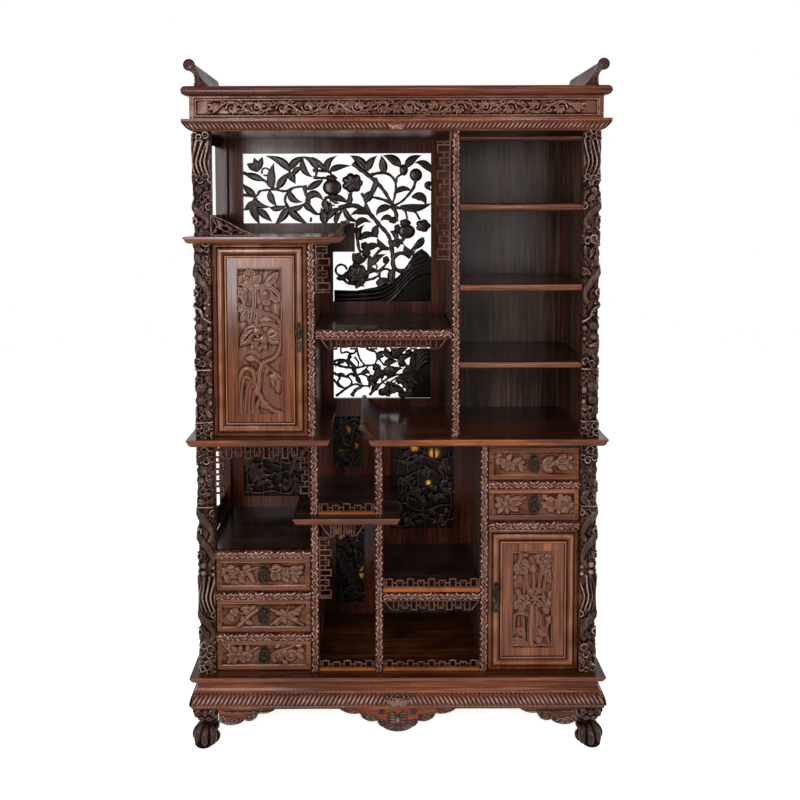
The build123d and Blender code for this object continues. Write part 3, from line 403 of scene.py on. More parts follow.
# A half-round stem. scales gives it a skin of overlapping scales of that length.
def stemMotif(field, points, width, rise, taper=0.5, scales=0.0):
    line = smoothPath(points, max(0.8, width * 0.12))
    steps = np.diff(line, axis=0)
    travel = np.concatenate([[0], np.cumsum(np.hypot(steps[:, 0], steps[:, 1]))])
    steps = np.vstack([steps, steps[-1]])
    for (x, y), (sx, sy), gone in zip(line, steps, travel):
        radius = width / 2 * (1 - taper * gone / travel[-1])
        norm = math.hypot(sx, sy)
        c, s = sx / norm, sy / norm

        def shape(dx, dy):
            r = np.hypot(dx, dy) / radius
            body = np.sqrt(np.clip(1 - r ** 2, 0, 1))
            if scales:
                along = gone + dx * c + dy * s
                aside = (-dx * s + dy * c) / radius
                row = np.mod(along / scales + 0.5 * np.cos(aside * np.pi * 2), 1)
                body = body * (0.8 + 0.28 * row)
            return np.where(r < 1, rise * (1 - 0.4 * taper * gone / travel[-1]) * body, 0)

        stamp(field, x, y, radius, shape)


def curlMotif(field, x, y, radius, rise, turn=0.0, hand=1, width=None):
    angles = np.linspace(0, 2 * math.pi * 1.25, 14)
    spiral = [(x + radius * (1 - 0.72 * i / 13) * math.cos(turn + hand * a),
               y + radius * (1 - 0.72 * i / 13) * math.sin(turn + hand * a)) for i, a in enumerate(angles)]
    stemMotif(field, spiral, width or radius * 0.55, rise, 0.35)


def softened(heights, cells):
    out = heights
    for axis in (0, 1, 0, 1):
        pad = [(0, 0), (0, 0)]
        pad[axis] = (cells + 1, cells)
        total = np.cumsum(np.pad(out, pad, mode="edge"), axis=axis)
        low = np.take(total, range(0, out.shape[axis]), axis=axis)
        high = np.take(total, range(2 * cells + 1, out.shape[axis] + 2 * cells + 1), axis=axis)
        out = (high - low) / (2 * cells + 1)
    return out


# Puts a field on a surface. place(u, v, h) gives points; the sheet is closed behind by
# back(u, v), which gives the points on the far side of its rim.
def closeField(name, field, place, back, material, body="case", reach=5.0, spread=4.5):
    u, v = np.meshgrid(field["u"], field["v"])
    front = np.stack(place(u, v, field["h"]), axis=-1).reshape(-1, 3)
    rows, cols = u.shape
    index = np.arange(rows * cols).reshape(rows, cols)
    quads = np.stack([index[:-1, :-1], index[:-1, 1:], index[1:, 1:], index[1:, :-1]], axis=-1).reshape(-1, 4)
    rim = np.concatenate([index[0, :-1], index[:-1, -1], index[-1, :0:-1], index[:0:-1, 0]])
    ru, rv = u.ravel()[rim], v.ravel()[rim]
    behind = np.stack(back(ru, rv), axis=-1)
    start = len(front)
    count = len(rim)
    faces = quads.tolist()
    for i in range(count):
        j = (i + 1) % count
        faces.append((int(rim[i]), start + i, start + j, int(rim[j])))
    faces.append(tuple(range(start, start + count)))
    # relief: how far a point stands above its softened surroundings; the carved finishes paint shade where it
    # is low and a highlight where it is high, and the back gets 0.3
    cells = max(1, round(spread / (field["u"][1] - field["u"][0])))
    around = softened(field["h"], cells)
    level = np.clip(0.42 + (field["h"] - around).ravel() / reach, 0, 1)
    relief = np.concatenate([level, np.full(count, 0.3)])
    return newPiece(name, np.vstack([front, behind]).tolist(), faces, material, body, relief=relief)


# Corner pillars: deep carving of clouds, strands, scaly bodies, fruit and leaves. Each motif has
# its height above the ground and its size, so the left and the right pillar mirror each other.
pillarCarving = {"step": 1.75, "ground": 6.0, "rise": 11.5, "corner": 9.0, "plainInside": 46, "width": 52}
pillarMotifs = (
    ("clouds", 1926, 10), ("strands", 1910, 108), ("clouds", 1797, 10), ("leaves", 1780, 66),
    ("scales", 1716, 70), ("leaves", 1640, 36), ("clouds", 1606, 12), ("leaves", 1586, 70),
    ("scales", 1518, 104), ("branch", 1410, 58), ("fruit", 1340, 15), ("fruit", 1307, 13),
    ("leaves", 1288, 54), ("clouds", 1228, 10), ("band", 1206, 7), ("leaves", 1192, 26), ("fruit", 1150, 18),
    ("fruit", 1110, 16), ("leaves", 1090, 40), ("band", 1042, 7), ("clouds", 1026, 11), ("clouds", 1006, 10),
    ("clouds", 950, 13), ("clouds", 924, 11), ("blossoms", 888, 17), ("leaves", 868, 84), ("band", 774, 7),
    ("scales", 764, 96), ("scales", 690, 100), ("fruit", 588, 12), ("fruit", 564, 11), ("strands", 552, 112),
    ("scales", 438, 88), ("leaves", 360, 36), ("clouds", 326, 12), ("clouds", 302, 11), ("leaves", 288, 34),
    ("clouds", 252, 11),
)


def carvePillarField(field, foot, seed):
    rng = random.Random(seed)
    width, height = field["u"][-1], field["v"][-1]
    rise, front = pillarCarving["rise"], width / 2
    carved = width - pillarCarving["plainInside"] + 12

    def leaves(v, depth, count, share=0.85):
        for _ in range(count):
            leafMotif(field, rng.uniform(4, carved), v - rng.uniform(0, depth), rng.uniform(0, 6.28),
                      rng.uniform(30, 44), rng.uniform(15, 21), rise * share * rng.uniform(0.75, 1.0),
                      rng.uniform(-0.35, 0.35))

    for v in np.arange(4, height, 20):
        for u in np.arange(4, carved, 20):
            curlMotif(field, u + rng.uniform(-4, 4), v + rng.uniform(-4, 4), rng.uniform(9, 12),
                      rise * rng.uniform(0.3, 0.55), rng.uniform(0, 6), rng.choice((-1, 1)), 8)
    for kind, level, size in pillarMotifs:
        v = level - foot
        if not -10 < v < height + 90:
            continue
        if kind == "clouds":
            for k, u in enumerate(np.arange(size * 0.5, carved, size * 1.65)):
                curlMotif(field, u, v + (k % 2 - 0.5) * size * 0.7, size * 1.15,
                          rise * rng.uniform(0.75, 1.0), rng.uniform(0, 6), 1 if k % 2 else -1, size * 0.75)
        elif kind == "strands":
            for k in range(10):
                u = 4 + k * carved / 9
                sway = rng.uniform(-9, 9)
                path = [(u + 8 + sway, v), (u + sway * 0.3, v - size * 0.3), (u - 7, v - size * 0.62),
                        (u + 5, v - size)]
                stemMotif(field, path, rng.uniform(9, 12), rise * rng.uniform(0.6, 1.0), 0.4)
        elif kind == "scales":
            path = [(front - 52, v + 8), (front - 26, v - size * 0.12), (front + 4, v - size * 0.45),
                    (front + 22, v - size * 0.8), (front + 12, v - size)]
            stemMotif(field, path, 31, rise, 0.35, 6)
            curlMotif(field, front + 24, v - size * 0.1, 12, rise * 0.9, 1, 1)
            curlMotif(field, front - 24, v - size * 0.72, 13, rise * 0.9, 2.6, -1)
            leaves(v - size * 0.5, size * 0.5, 3, 0.7)
        elif kind == "leaves":
            leaves(v, size, max(4, round(size / 6)))
        elif kind == "fruit":
            knobMotif(field, front - 8, v, size, rise, 0.04)
            knobMotif(field, front + 21, v - size * 0.5, size * 0.75, rise * 0.9, 0.04)
            knobMotif(field, front - 42, v - size * 0.2, size * 0.9, rise * 0.9, 0.04)
            leaves(v + size, size * 2, 4, 0.6)
        elif kind == "blossoms":
            for shift, grow in ((-2, 1.0), (30, 0.7), (-44, 0.85)):
                x, y = front + shift, v - (1 - grow) * 20
                blossomMotif(field, x, y, size * grow, 6, rise * 0.9, rng.uniform(0, 3))
        elif kind == "branch":
            stemMotif(field, [(front - 40, v), (front - 8, v - size * 0.3), (front + 2, v - size * 0.7),
                              (front + 26, v - size)], 12, rise, 0.2)
            for k in range(5):
                knobMotif(field, front + rng.uniform(-36, 24), v - size * k / 5, 6.5, rise * 0.95)
            leaves(v, size, 7, 0.7)
        elif kind == "band":
            stemMotif(field, [(0, v), (carved, v)], size, rise * 0.85, 0)


# Section of a pillar, from the back of its outer side round the front to the back of its inner side
def pillarPath(side):
    radius = pillarCarving["corner"]
    low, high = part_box("corner_pillars")
    outer, front = high[0] / mm, low[1] / mm
    inner, rear = outer - pillarCarving["width"], high[1] / mm
    turn = np.linspace(0, math.pi / 2, 8)
    points = [(outer, rear)]
    points += [(outer - radius + radius * math.cos(a), front + radius - radius * math.sin(a)) for a in turn]
    points += [(inner + radius - radius * math.sin(a), front + radius - radius * math.cos(a)) for a in turn]
    points = np.array(points + [(inner, rear)])
    points[:, 0] *= side
    return points, np.concatenate([[0], np.cumsum(np.hypot(*np.diff(points, axis=0).T))])


def alongPath(points, travel, u):
    x, y = np.interp(u, travel, points[:, 0]), np.interp(u, travel, points[:, 1])
    e = 1.5
    tx = np.interp(u + e, travel, points[:, 0]) - np.interp(u - e, travel, points[:, 0])
    ty = np.interp(u + e, travel, points[:, 1]) - np.interp(u - e, travel, points[:, 1])
    size = np.maximum(np.hypot(tx, ty), 1e-9)
    return x, y, tx / size, ty / size


def carvedPillar(name, side, z, seed):
    points, travel = pillarPath(side)
    field = newField(travel[-1], z[1] - z[0], pillarCarving["step"])
    carvePillarField(field, z[0], seed)

    def place(u, v, h):
        x, y, tx, ty = alongPath(points, travel, u)
        # plain beside the doors and drawers, and nothing in their way
        inner = np.clip((u - (travel[-1] - pillarCarving["plainInside"])) / 10, 0, 1)
        lift = (h - pillarCarving["ground"]) * (1 - inner) * np.clip(u / 6, 0, 1)
        x = side * np.maximum(side * x - ty * lift, side * points[-1, 0] + 0.2)
        return x * mm, (y + side * tx * lift) * mm, (z[0] + v) * mm

    def back(u, v):
        x = np.interp(u, travel, np.linspace(points[0, 0] - side * 2, points[-1, 0] + side * 2, len(travel)))
        return x * mm, np.full_like(u, points[0, 1] - 2) * mm, (z[0] + v) * mm

    return closeField(name, field, place, back, finishes["carved"], reach=8.0)


pillars = {
    "pillarLeftLower": (-1, (241, 968), 11), "pillarRightLower": (1, (241, 968), 12),
    "pillarLeftDoor": (-1, (993, 1598), 13), "pillarLeftTop": (-1, (1619, 1940), 14),
    "pillarRightUpper": (1, (993, 1940), 15),
}
for name, (side, z, seed) in pillars.items():
    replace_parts(carvedPillar(name, side, z, seed), "corner_pillars")
print("pillars carved")


def newSculpture():
    return {"verts": [], "faces": [], "relief": []}


# shade below 1 scales the relief down, which dims the painted highlight on a sculpture's high places
def finishSculpture(work, name, finish, node=None, body="case", smooth=True,
                    shade=1.0):
    piece = newPiece(name, work["verts"], work["faces"], finishes[finish], body, smooth,
                     np.array(work["relief"]) * shade)
    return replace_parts(piece, node) if node else piece


# x, y, x, y as points
def pairs(numbers):
    return list(zip(numbers[::2], numbers[1::2]))


# Adds a closed shell from a front grid and a back grid of the same size
def addShell(work, front, back, relief):
    rows, cols = front.shape[:2]
    start = len(work["verts"])
    work["verts"] += front.reshape(-1, 3).tolist() + back.reshape(-1, 3).tolist()
    # relief drives painted light in the carved finishes: the front gets the given values, the back 0.15,
    # which paints it as shade
    work["relief"] += list(np.ravel(relief)) + [0.15] * (rows * cols)
    index = start + np.arange(rows * cols).reshape(rows, cols)
    under = index + rows * cols
    for grid, flip in ((index, False), (under, True)):
        quads = np.stack([grid[:-1, :-1], grid[:-1, 1:], grid[1:, 1:], grid[1:, :-1]], axis=-1).reshape(-1, 4)
        work["faces"] += (quads[:, ::-1] if flip else quads).tolist()
    rim = np.concatenate([index[0, :-1], index[:-1, -1], index[-1, :0:-1], index[:0:-1, 0]])
    low = rim + rows * cols
    for i in range(len(rim)):
        j = (i + 1) % len(rim)
        work["faces"].append((int(rim[i]), int(low[i]), int(low[j]), int(rim[j])))


# Points are (across, down) on the panel's own grid; depth runs back from its front face
def onPanel(panel, across, down, depth):
    unit = panel["unit"]
    x = panel["x"] + np.asarray(across) * unit - panel["offset"][0]
    z = panel["z"] - np.asarray(down) * unit + panel["offset"][1]
    y = panel["y"] + np.asarray(depth) + np.zeros_like(x)
    return np.stack([x * mm, y * mm, z * mm], axis=-1)


def curveThrough(base, middle, tip, t):
    base, middle, tip = (np.array(p, float) for p in (base, middle, tip))
    pull = 2 * middle - 0.5 * (base + tip)
    t = t[:, None]
    return (1 - t) ** 2 * base + 2 * t * (1 - t) * pull + t ** 2 * tip


# The spots across a strip that follows a line: s runs from -1 to 1 over its width
def stripSpots(line, half, s):
    step = np.gradient(line, axis=0)
    lengths = np.maximum(np.linalg.norm(step, axis=1), 1e-6)
    side = np.stack([-step[:, 1], step[:, 0]], axis=-1) / lengths[:, None]
    spots = line[:, None, :] + side[:, None, :] * (half[:, None] * s[None, :])[..., None]
    return spots[..., 0], spots[..., 1]


def addLeaf(work, panel, base, middle, tip, width, level=0.0):
    t = np.linspace(0, 1, 13)
    half = width / 2 * np.sin(np.pi * np.clip(t, 0.03, 0.985) ** 0.75)
    s = np.linspace(-1, 1, 9)
    across, down = stripSpots(curveThrough(base, middle, tip, t), half, s)
    thick = panel["thickness"]
    crown = np.sqrt(1 - 0.85 * s ** 2)[None, :] * np.ones((13, 1))
    rib = np.where(np.abs(s) < 0.1, 0.34, 0)[None, :]
    vein = 0.09 * np.sin(t * 40)[:, None] * (np.abs(s) > 0.2)[None, :]
    twist = 0.16 * np.sin(t * np.pi * 1.4 + base[0])[:, None] * s[None, :]
    rise = crown - rib + vein + twist
    front = onPanel(panel, across, down, thick * (0.42 - 0.42 * rise + level))
    back = onPanel(panel, across, down, thick * (0.55 + 0.25 * crown + level))
    addShell(work, front, back, np.clip(rise, 0, 1))


def addStem(work, panel, points, width, thin=0.35, level=0.0):
    line = smoothPath(points, max(1.0, 2.5 / panel["unit"]))
    count = len(line)
    t = np.linspace(0, 1, count)
    knots = 1 + 0.12 * np.sin(t * count * 1.1)
    s = np.linspace(-1, 1, 7)
    across, down = stripSpots(line, width / 2 * (1 - thin * t) * knots, s)
    crown = np.sqrt(1 - 0.92 * s ** 2)[None, :] * np.ones((count, 1))
    thick = panel["thickness"]
    front = onPanel(panel, across, down, thick * (0.48 - 0.36 * crown + level))
    back = onPanel(panel, across, down, thick * (0.52 + 0.34 * crown + level))
    addShell(work, front, back, crown)


def addRing(work, panel, centre, radius, width, start=0.0, turns=0.93):
    angles = np.linspace(start, start + 2 * math.pi * turns, 14)
    points = [(centre[0] + radius * math.cos(a), centre[1] + radius * math.sin(a)) for a in angles]
    addStem(work, panel, points, width, 0.1)


# A dome with petals or a hatched skin, seen from the front
def addDome(work, panel, centre, size, petals=0, hatch=0, layers=1):
    rings, spokes = (9, 32) if petals or size[0] * panel["unit"] > 8 else (6, 18)
    angle = np.linspace(0, 2 * np.pi, spokes, endpoint=False)
    thick = panel["thickness"]
    for layer in range(layers):
        grow = 1 - 0.3 * layer
        turn = layer * 0.6
        lobe = np.abs(np.cos(petals * (angle + turn) / 2)) ** 0.6 if petals else np.ones(spokes)
        edge = grow * (0.78 + 0.22 * lobe)
        r = np.linspace(0.04, 1, rings)
        ax = centre[0] + size[0] * (r[:, None] * edge[None, :]) * np.cos(angle)[None, :]
        dn = centre[1] + size[1] * (r[:, None] * edge[None, :]) * np.sin(angle)[None, :]
        crown = np.sqrt(1 - 0.9 * r ** 2)[:, None] * (0.75 + 0.25 * lobe)[None, :]
        skin = hatch * np.sin(ax * 3.4) * np.sin(dn * 3.4)
        rise = crown + skin + 0.12 * layer
        front = onPanel(panel, ax, dn, thick * (0.45 - 0.42 * rise))
        back = onPanel(panel, ax, dn, thick * (0.55 + 0.3 * crown))
        start = len(work["verts"])
        work["verts"] += front.reshape(-1, 3).tolist() + back.reshape(-1, 3).tolist()
        # painted highlight on the dome's crown from its height, painted shade on its back at 0.15
        work["relief"] += list(np.clip(rise, 0, 1).ravel()) + [0.15] * (rings * spokes)
        index = start + np.arange(rings * spokes).reshape(rings, spokes)
        under = index + rings * spokes
        nxt = np.roll(np.arange(spokes), -1)
        for k in range(rings - 1):
            for i in range(spokes):
                j = nxt[i]
                work["faces"].append((index[k, i], index[k, j], index[k + 1, j], index[k + 1, i]))
                work["faces"].append((under[k, i], under[k + 1, i], under[k + 1, j], under[k, j]))
        for i in range(spokes):
            j = nxt[i]
            work["faces"].append((index[-1, i], index[-1, j], under[-1, j], under[-1, i]))
        work["faces"].append(tuple(int(n) for n in index[0]))
        work["faces"].append(tuple(int(n) for n in under[0][::-1]))


# Rock with folds that sweep up to the right, between the panel's foot and its own crest
def addRock(work, panel, x, foot, crest, sweep, pitch):
    across = np.linspace(x[0], x[1], 56)
    top = np.interp(across, [p[0] for p in crest], [p[1] for p in crest])
    v = np.linspace(0, 1, 34)
    ax = np.tile(across, (34, 1))
    dn = foot + (top - foot)[None, :] * v[:, None]
    curve = sweep[1] / (1 + np.exp(-(ax - sweep[0]) / sweep[2]))
    phase = ((foot - dn) - curve) / pitch
    ridge = np.abs(np.sin(np.pi * phase)) ** 0.7
    plain = np.clip((curve - (foot - dn)) / pitch - 1.5, 0, 1)
    rise = np.where(plain > 0, 0.5 * plain + ridge * (1 - plain), ridge)
    thick = panel["thickness"]
    front = onPanel(panel, ax, dn, thick * (0.5 - 0.45 * rise))
    back = onPanel(panel, ax, dn, thick * 0.92)
    addShell(work, front, back, 0.15 + 0.6 * rise)


# What grows on a panel, with points as plain numbers, across and down in turn. A leaf is its base, middle,
# tip and width, a stem the points along it and its width, and a ring its centre, radius, width and start.
# A dome, which is a flower or a fruit, is its centre, two radii, petals, how rough its skin is, and layers.
def addPlants(work, panel, leaves, stems, rings, domes, leavesWider=1.4, stemsWider=1.4):
    for *numbers, width in leaves:
        addLeaf(work, panel, *pairs(numbers), width * leavesWider)
    for *numbers, width in stems:
        addStem(work, panel, pairs(numbers), width * stemsWider)
    for x, down, radius, width, start in rings:
        addRing(work, panel, (x, down), radius, width, start)
    for x, down, wide, tall, petals, hatch, layers in domes:
        addDome(work, panel, (x, down), (wide, tall), petals, hatch, layers)


# The tall panel: flowering and fruiting branches that grow from a hollow trunk behind a rock.
# Its grid has squares of 5.04 mm and starts 27 mm outside the panel's upper left corner.
upperPanel = {"unit": 5.04, "offset": (27, 27.5), "x": -532, "z": 1893, "y": 199.0, "thickness": 13.5}
upperLeaves = (
    (15, 18, 14.5, 13, 13, 8, 4), (15, 18, 17.5, 12, 19, 7.5, 3.2), (15, 18, 11, 14, 8, 13, 3.4),
    (20, 24, 12, 21, 5, 19, 3.6), (14, 34.5, 9, 31, 5, 26, 3.6), (26, 30.5, 25, 21, 27, 12, 4.4),
    (29, 30, 33, 24, 38, 18, 4), (38, 18, 32, 11, 21, 7, 4.2), (38, 17, 42, 11, 50, 7.5, 3.8),
    (57, 17, 54, 11, 47, 8, 3.8), (47, 9, 48, 17, 54.5, 22, 3.4), (54, 8, 60, 14, 66, 18.5, 3),
    (38, 18, 39.5, 22, 42, 26.5, 4), (46, 15, 41.5, 18, 39, 23, 3), (24, 31, 25, 37, 29, 42, 3.6),
    (13.5, 36, 16, 41, 25, 42.5, 3.6), (24, 43, 30, 43.5, 36, 41, 3), (38, 31, 40, 37, 47, 39, 3.6),
    (37, 43, 43, 43.5, 49, 39, 3), (61, 24, 54, 28, 49, 31, 3.6), (49, 39, 55, 33.5, 62, 39, 4),
    (49, 39, 51, 43, 58, 47.5, 3.6), (13, 37, 13, 46, 17, 55, 4.8), (13, 38, 9.5, 42, 5, 45, 3.6),
    (16, 44, 20, 48, 25.5, 53, 3.8), (37, 42, 33, 49, 27, 55, 4.2), (37, 43, 42, 49, 51, 55, 4),
    (62, 55, 61.5, 49, 59.5, 43, 4.6), (62, 37, 63, 42, 65, 47, 4), (64, 52, 68, 46, 75, 44, 3.6),
    (70, 55, 71, 49, 76, 45, 2.8), (65, 37, 72, 36.5, 80, 41, 3.6), (77, 42, 80, 37, 78, 33, 3),
    (65, 18, 64.5, 12, 71, 7, 3.6), (66, 18, 71.5, 15, 81, 14, 3.2), (92, 18, 87, 11, 80, 7, 4.6),
    (92, 18, 94, 12, 99, 7, 4), (104, 20, 103, 13, 102, 7, 4.4), (115.5, 15, 110, 9.5, 103, 7, 4.6),
    (119, 16, 123, 10, 130, 7, 4.2), (137, 19, 132, 13, 125, 12, 4), (138, 26, 134, 28, 137.5, 32, 3.4),
    (110.5, 34, 117, 30, 124, 32.5, 3), (123, 36, 130, 36, 133, 42, 4.4),
    (115, 42, 126, 43.5, 137.5, 40, 4.2), (91, 40, 93, 35, 98.5, 31, 4.6), (98, 22, 97, 29, 91, 36, 3),
    (91, 40, 92.5, 46, 98, 51, 3), (76, 42, 79, 50, 87, 53, 3), (93, 48, 86, 46, 80, 49, 3),
    (84, 57, 88, 52, 95, 54, 3.4), (87, 66, 92, 62, 100, 64.5, 3.6), (99, 64, 97.5, 59, 101, 55, 4),
    (100, 70, 93, 71, 88, 77, 3.8), (99, 65, 103, 71, 109, 71, 3.2), (86, 66, 86, 60, 90, 55, 3),
    (131, 64, 128, 69, 121, 74, 3.8), (110, 52, 105, 50, 101, 53, 3), (109, 43, 102, 44, 98, 49, 3.8),
    (94, 85, 98, 79, 105, 76, 3.6), (91, 91, 95, 87, 100, 90, 3.2), (100, 99, 103, 95, 111, 95, 4.4),
    (82, 75, 86, 80, 93, 77, 4.6), (70, 93, 75, 92, 81, 90, 3), (92, 86, 94, 80, 91, 76, 3.2),
    (109, 72, 113, 67, 118, 70, 3.6), (108, 60, 112, 63, 111, 70, 3), (67, 40, 66, 44, 70, 45, 2.6),
    (118, 70, 121, 75, 126, 73, 4), (84, 100, 86, 97, 90, 99, 3.4), (110, 86, 108, 92, 111, 97, 3.2),
)
upperStems = (
    (5, 18.5, 20, 24, 24, 28, 29, 30.5, 35, 31.5, 41, 29, 50, 28, 1.7),
    (5, 34, 14, 35, 17, 31.5, 24, 30.5, 29, 30.5, 1.6), (36.5, 43, 34.5, 38, 36, 33, 41, 29, 1.6),
    (48, 28, 49, 33, 51.5, 38, 50, 41, 2.2), (54.5, 22, 60, 22.5, 66, 22, 1.7),
    (54, 17, 60, 17.5, 66, 18.5, 67, 22, 1.7), (14, 36, 13.5, 40, 13, 44, 2), (62, 37, 64, 36, 67, 34, 1.8),
    (82, 12, 86, 15.5, 92, 20, 99, 26, 104, 32, 107, 37, 109.5, 42, 2.5),
    (94, 20.5, 101, 19, 107, 20, 111, 24, 112, 29, 111, 36, 109, 42, 1.7), (112, 26, 113, 22, 117.5, 19, 1.5),
    (126, 23, 124.5, 29, 121, 34, 116, 39, 109.5, 42.5, 1.7), (111, 42, 104, 38, 96, 36, 90, 36, 1.8),
    (81, 33, 79, 37, 82, 42, 1.6),
    (72, 44, 77, 42, 84, 42, 91, 45.5, 96, 50, 101, 56, 105.5, 61, 108, 66, 109, 73, 2.7),
    (109.5, 42, 112, 47, 112.5, 53, 2.6), (112, 43, 118, 45, 120, 51, 1.6), (118, 44, 125, 46, 129, 52, 1.6),
    (88, 33, 90, 37, 91, 41, 1.6), (91, 41, 92, 45, 2), (84, 57, 85, 65, 86, 72, 88, 75, 2.2),
    (108, 66, 109, 72, 110, 80, 110.5, 94, 2.6),
    (107, 72, 101, 73, 96, 79, 94, 85, 98, 88, 104, 84, 106, 78, 1.7), (112, 71, 118, 64, 119, 60, 2.2),
    (66, 34, 68, 39, 72, 40, 1.4), (61, 47, 56, 47.5, 50, 44, 1.5), (74, 92, 78, 96, 84, 97, 1.8),
    (90, 94, 96, 93, 101, 90, 1.7), (57, 17, 56, 21, 54.5, 22, 1.5),
)
upperRings = (
    (21, 18, 2.6, 1.3, 2.6), (73.5, 87, 3.9, 1.7, 0.4), (104.5, 90.5, 4.3, 1.9, 1.5), (68, 39.5, 2.2, 1.1, 1),
    (96, 85, 2.6, 1.3, 2),
)
upperDomes = (
    (67.5, 29, 6.6, 5.8, 0, 0, 1), (67, 22.5, 4.2, 2.6, 5, 0, 2), (67.6, 35, 1.6, 1.6, 0, 0, 1),
    (81.5, 26, 7.6, 7.2, 7, 0.07, 3), (117.5, 17, 3, 4, 0, 0, 1), (126, 20.5, 4.4, 4.6, 0, 0.12, 1),
    (52.5, 51.5, 0.9, 1.8, 0, 0, 1), (119.5, 60, 6, 5, 0, 0, 1), (118.5, 54, 4.2, 3, 5, 0, 2),
    (131, 56, 5.4, 4.6, 5, 0.05, 2), (113, 58, 2.6, 3.4, 5, 0, 2), (110, 52, 3.4, 2.6, 5, 0, 1),
    (84.5, 90.5, 8.6, 8, 6, 0.08, 3), (85, 79, 4, 4.4, 5, 0, 2), (91, 75, 3.4, 3.4, 5, 0, 2),
    (62, 46, 3.4, 2.4, 5, 0, 2), (90, 70, 3, 3, 5, 0, 1), (84, 84, 3, 3, 5, 0, 2), (105, 80, 2.6, 3, 5, 0, 1),
    (101, 96, 3.4, 3, 6, 0.05, 2),
)
upperCrest = (
    (68, 101), (84, 101.5), (98, 99), (108, 96), (114, 91), (121, 82), (124, 76), (130, 72), (134, 75),
    (138, 80),
)
work = newSculpture()
addPlants(work, upperPanel, upperLeaves, upperStems, upperRings, upperDomes, stemsWider=1.35)
addRing(work, upperPanel, (116, 81.5), 6.4, 3.2)
addRock(work, upperPanel, (68.5, 137.5), 109, upperCrest, (116, 26, 5.5), 3.0)
finishSculpture(work, "openworkTall", "openwork", "pierced_panels_upper")

# The panel behind the middle bay: thin bare branches at the left, dense blossom and rock at the right
centrePanel = {"unit": 3.52, "offset": (17.6, 49.8), "x": -217, "z": 1200, "y": 199.0, "thickness": 13.5}
centreStems = (
    (5, 27, 10, 25, 18, 25.5, 21, 19, 18, 17, 13, 18, 12, 13, 1.9),
    (5, 29, 12, 31.5, 20, 33, 29, 33, 38, 31, 46, 30, 49, 25, 56, 21, 1.9),
    (28, 13, 31, 23, 35, 29, 38, 31, 1.7), (38, 13, 42, 15.5, 47, 17, 51, 24, 56, 31, 1.8),
    (25, 34, 26.5, 38, 27, 42, 3.4), (17, 43, 22, 39.5, 27, 41, 33, 39.5, 39, 42, 2.2),
    (5, 38, 11, 43, 9, 48, 16, 54, 23, 49, 21, 44, 17, 42, 1.8),
    (7, 62, 18, 54, 26, 50, 34, 51.5, 42, 52, 1.9), (23, 62, 27, 56, 34, 52, 3),
    (21, 19, 26, 18, 28, 14, 1.8), (18, 26, 20, 30, 20, 33, 2.4), (41, 61, 52, 50, 60, 44, 70, 40, 2),
    (51, 61, 60, 50, 69, 43, 1.8), (33, 39, 38, 34, 40, 31, 1.6), (58, 48, 70, 52, 78, 60, 2.2),
    (26, 22, 30, 28, 29, 33, 1.5), (5, 45, 10, 52, 16, 54, 1.6), (39, 42, 42, 47, 42, 52, 2),
)
centreLeaves = (
    (18, 26, 12, 27, 6, 33, 3.4), (29, 33, 22, 28, 19, 20, 2.6), (33, 39, 38, 37, 42, 40, 3.6),
    (28, 41, 30, 46, 34, 50, 3.6), (17, 43, 12, 40, 6, 41, 3), (49, 25, 52, 19, 58, 17, 4.4),
    (56, 31, 62, 27, 70, 27, 5), (70, 27, 76, 22, 84, 22, 5.4), (60, 44, 66, 36, 75, 34, 5.2),
    (70, 40, 77, 42, 84, 39, 5), (52, 50, 46, 54, 43, 61, 4.6), (60, 50, 58, 56, 53, 62, 4.8),
    (69, 43, 76, 48, 78, 56, 5.4), (46, 44, 50, 38, 56, 36, 5), (47, 30, 50, 34, 49, 40, 4.4),
    (62, 60, 67, 55, 75, 54, 5), (75, 54, 80, 50, 88, 52, 4.6), (66, 20, 72, 16, 80, 13, 5),
    (57, 13, 60, 20, 67, 24, 5), (78, 30, 82, 34, 88, 34, 4.6), (46, 46, 42, 49, 41, 55, 3.6),
    (62, 62, 58, 58, 57, 52, 4.4), (82, 40, 86, 46, 91, 50, 4.6), (70, 60, 76, 61, 86, 60, 4.6),
)
centreDomes = (
    (44.5, 45, 6, 5.4, 6, 0.06, 3), (52, 40, 5.2, 5, 6, 0.06, 2), (61.5, 37, 7, 6.6, 7, 0.05, 3),
    (68, 19, 6.4, 6, 5, 0.08, 3), (62, 54, 5.4, 5, 6, 0.06, 3), (48, 33, 4.4, 4, 5, 0.05, 2),
    (74, 29, 4.4, 4, 6, 0.05, 2), (79, 37, 4.8, 4.2, 6, 0.06, 2), (54, 58, 4.6, 4.2, 5, 0.05, 2),
    (72, 46, 4.6, 4.4, 6, 0.05, 2), (47, 53, 4, 3.8, 5, 0.05, 2), (82, 58, 5, 4.4, 6, 0.05, 2),
    (82, 46, 3.6, 3.6, 5, 0.05, 1), (60, 28, 4, 3.6, 5, 0.05, 2), (81, 18, 4.2, 3.8, 5, 0.05, 2),
    (26, 40, 2.6, 2.8, 5, 0, 1), (21, 22, 2.4, 2.4, 5, 0, 1), (72, 56, 3.6, 3.6, 5, 0.05, 1),
)
centreCrest = ((79, 50), (82, 24), (86, 15), (94, 13.6), (104, 13.6))
work = newSculpture()
addPlants(work, centrePanel, centreLeaves, centreStems, (), centreDomes)
addRing(work, centrePanel, (61, 43), 8, 1.6)
addRock(work, centrePanel, (79, 104), 63.5, centreCrest, (86, 44, 3.4), 4.4)
finishSculpture(work, "openworkMiddle", "openwork", "pierced_panels_upper")
print("upper openwork carved")


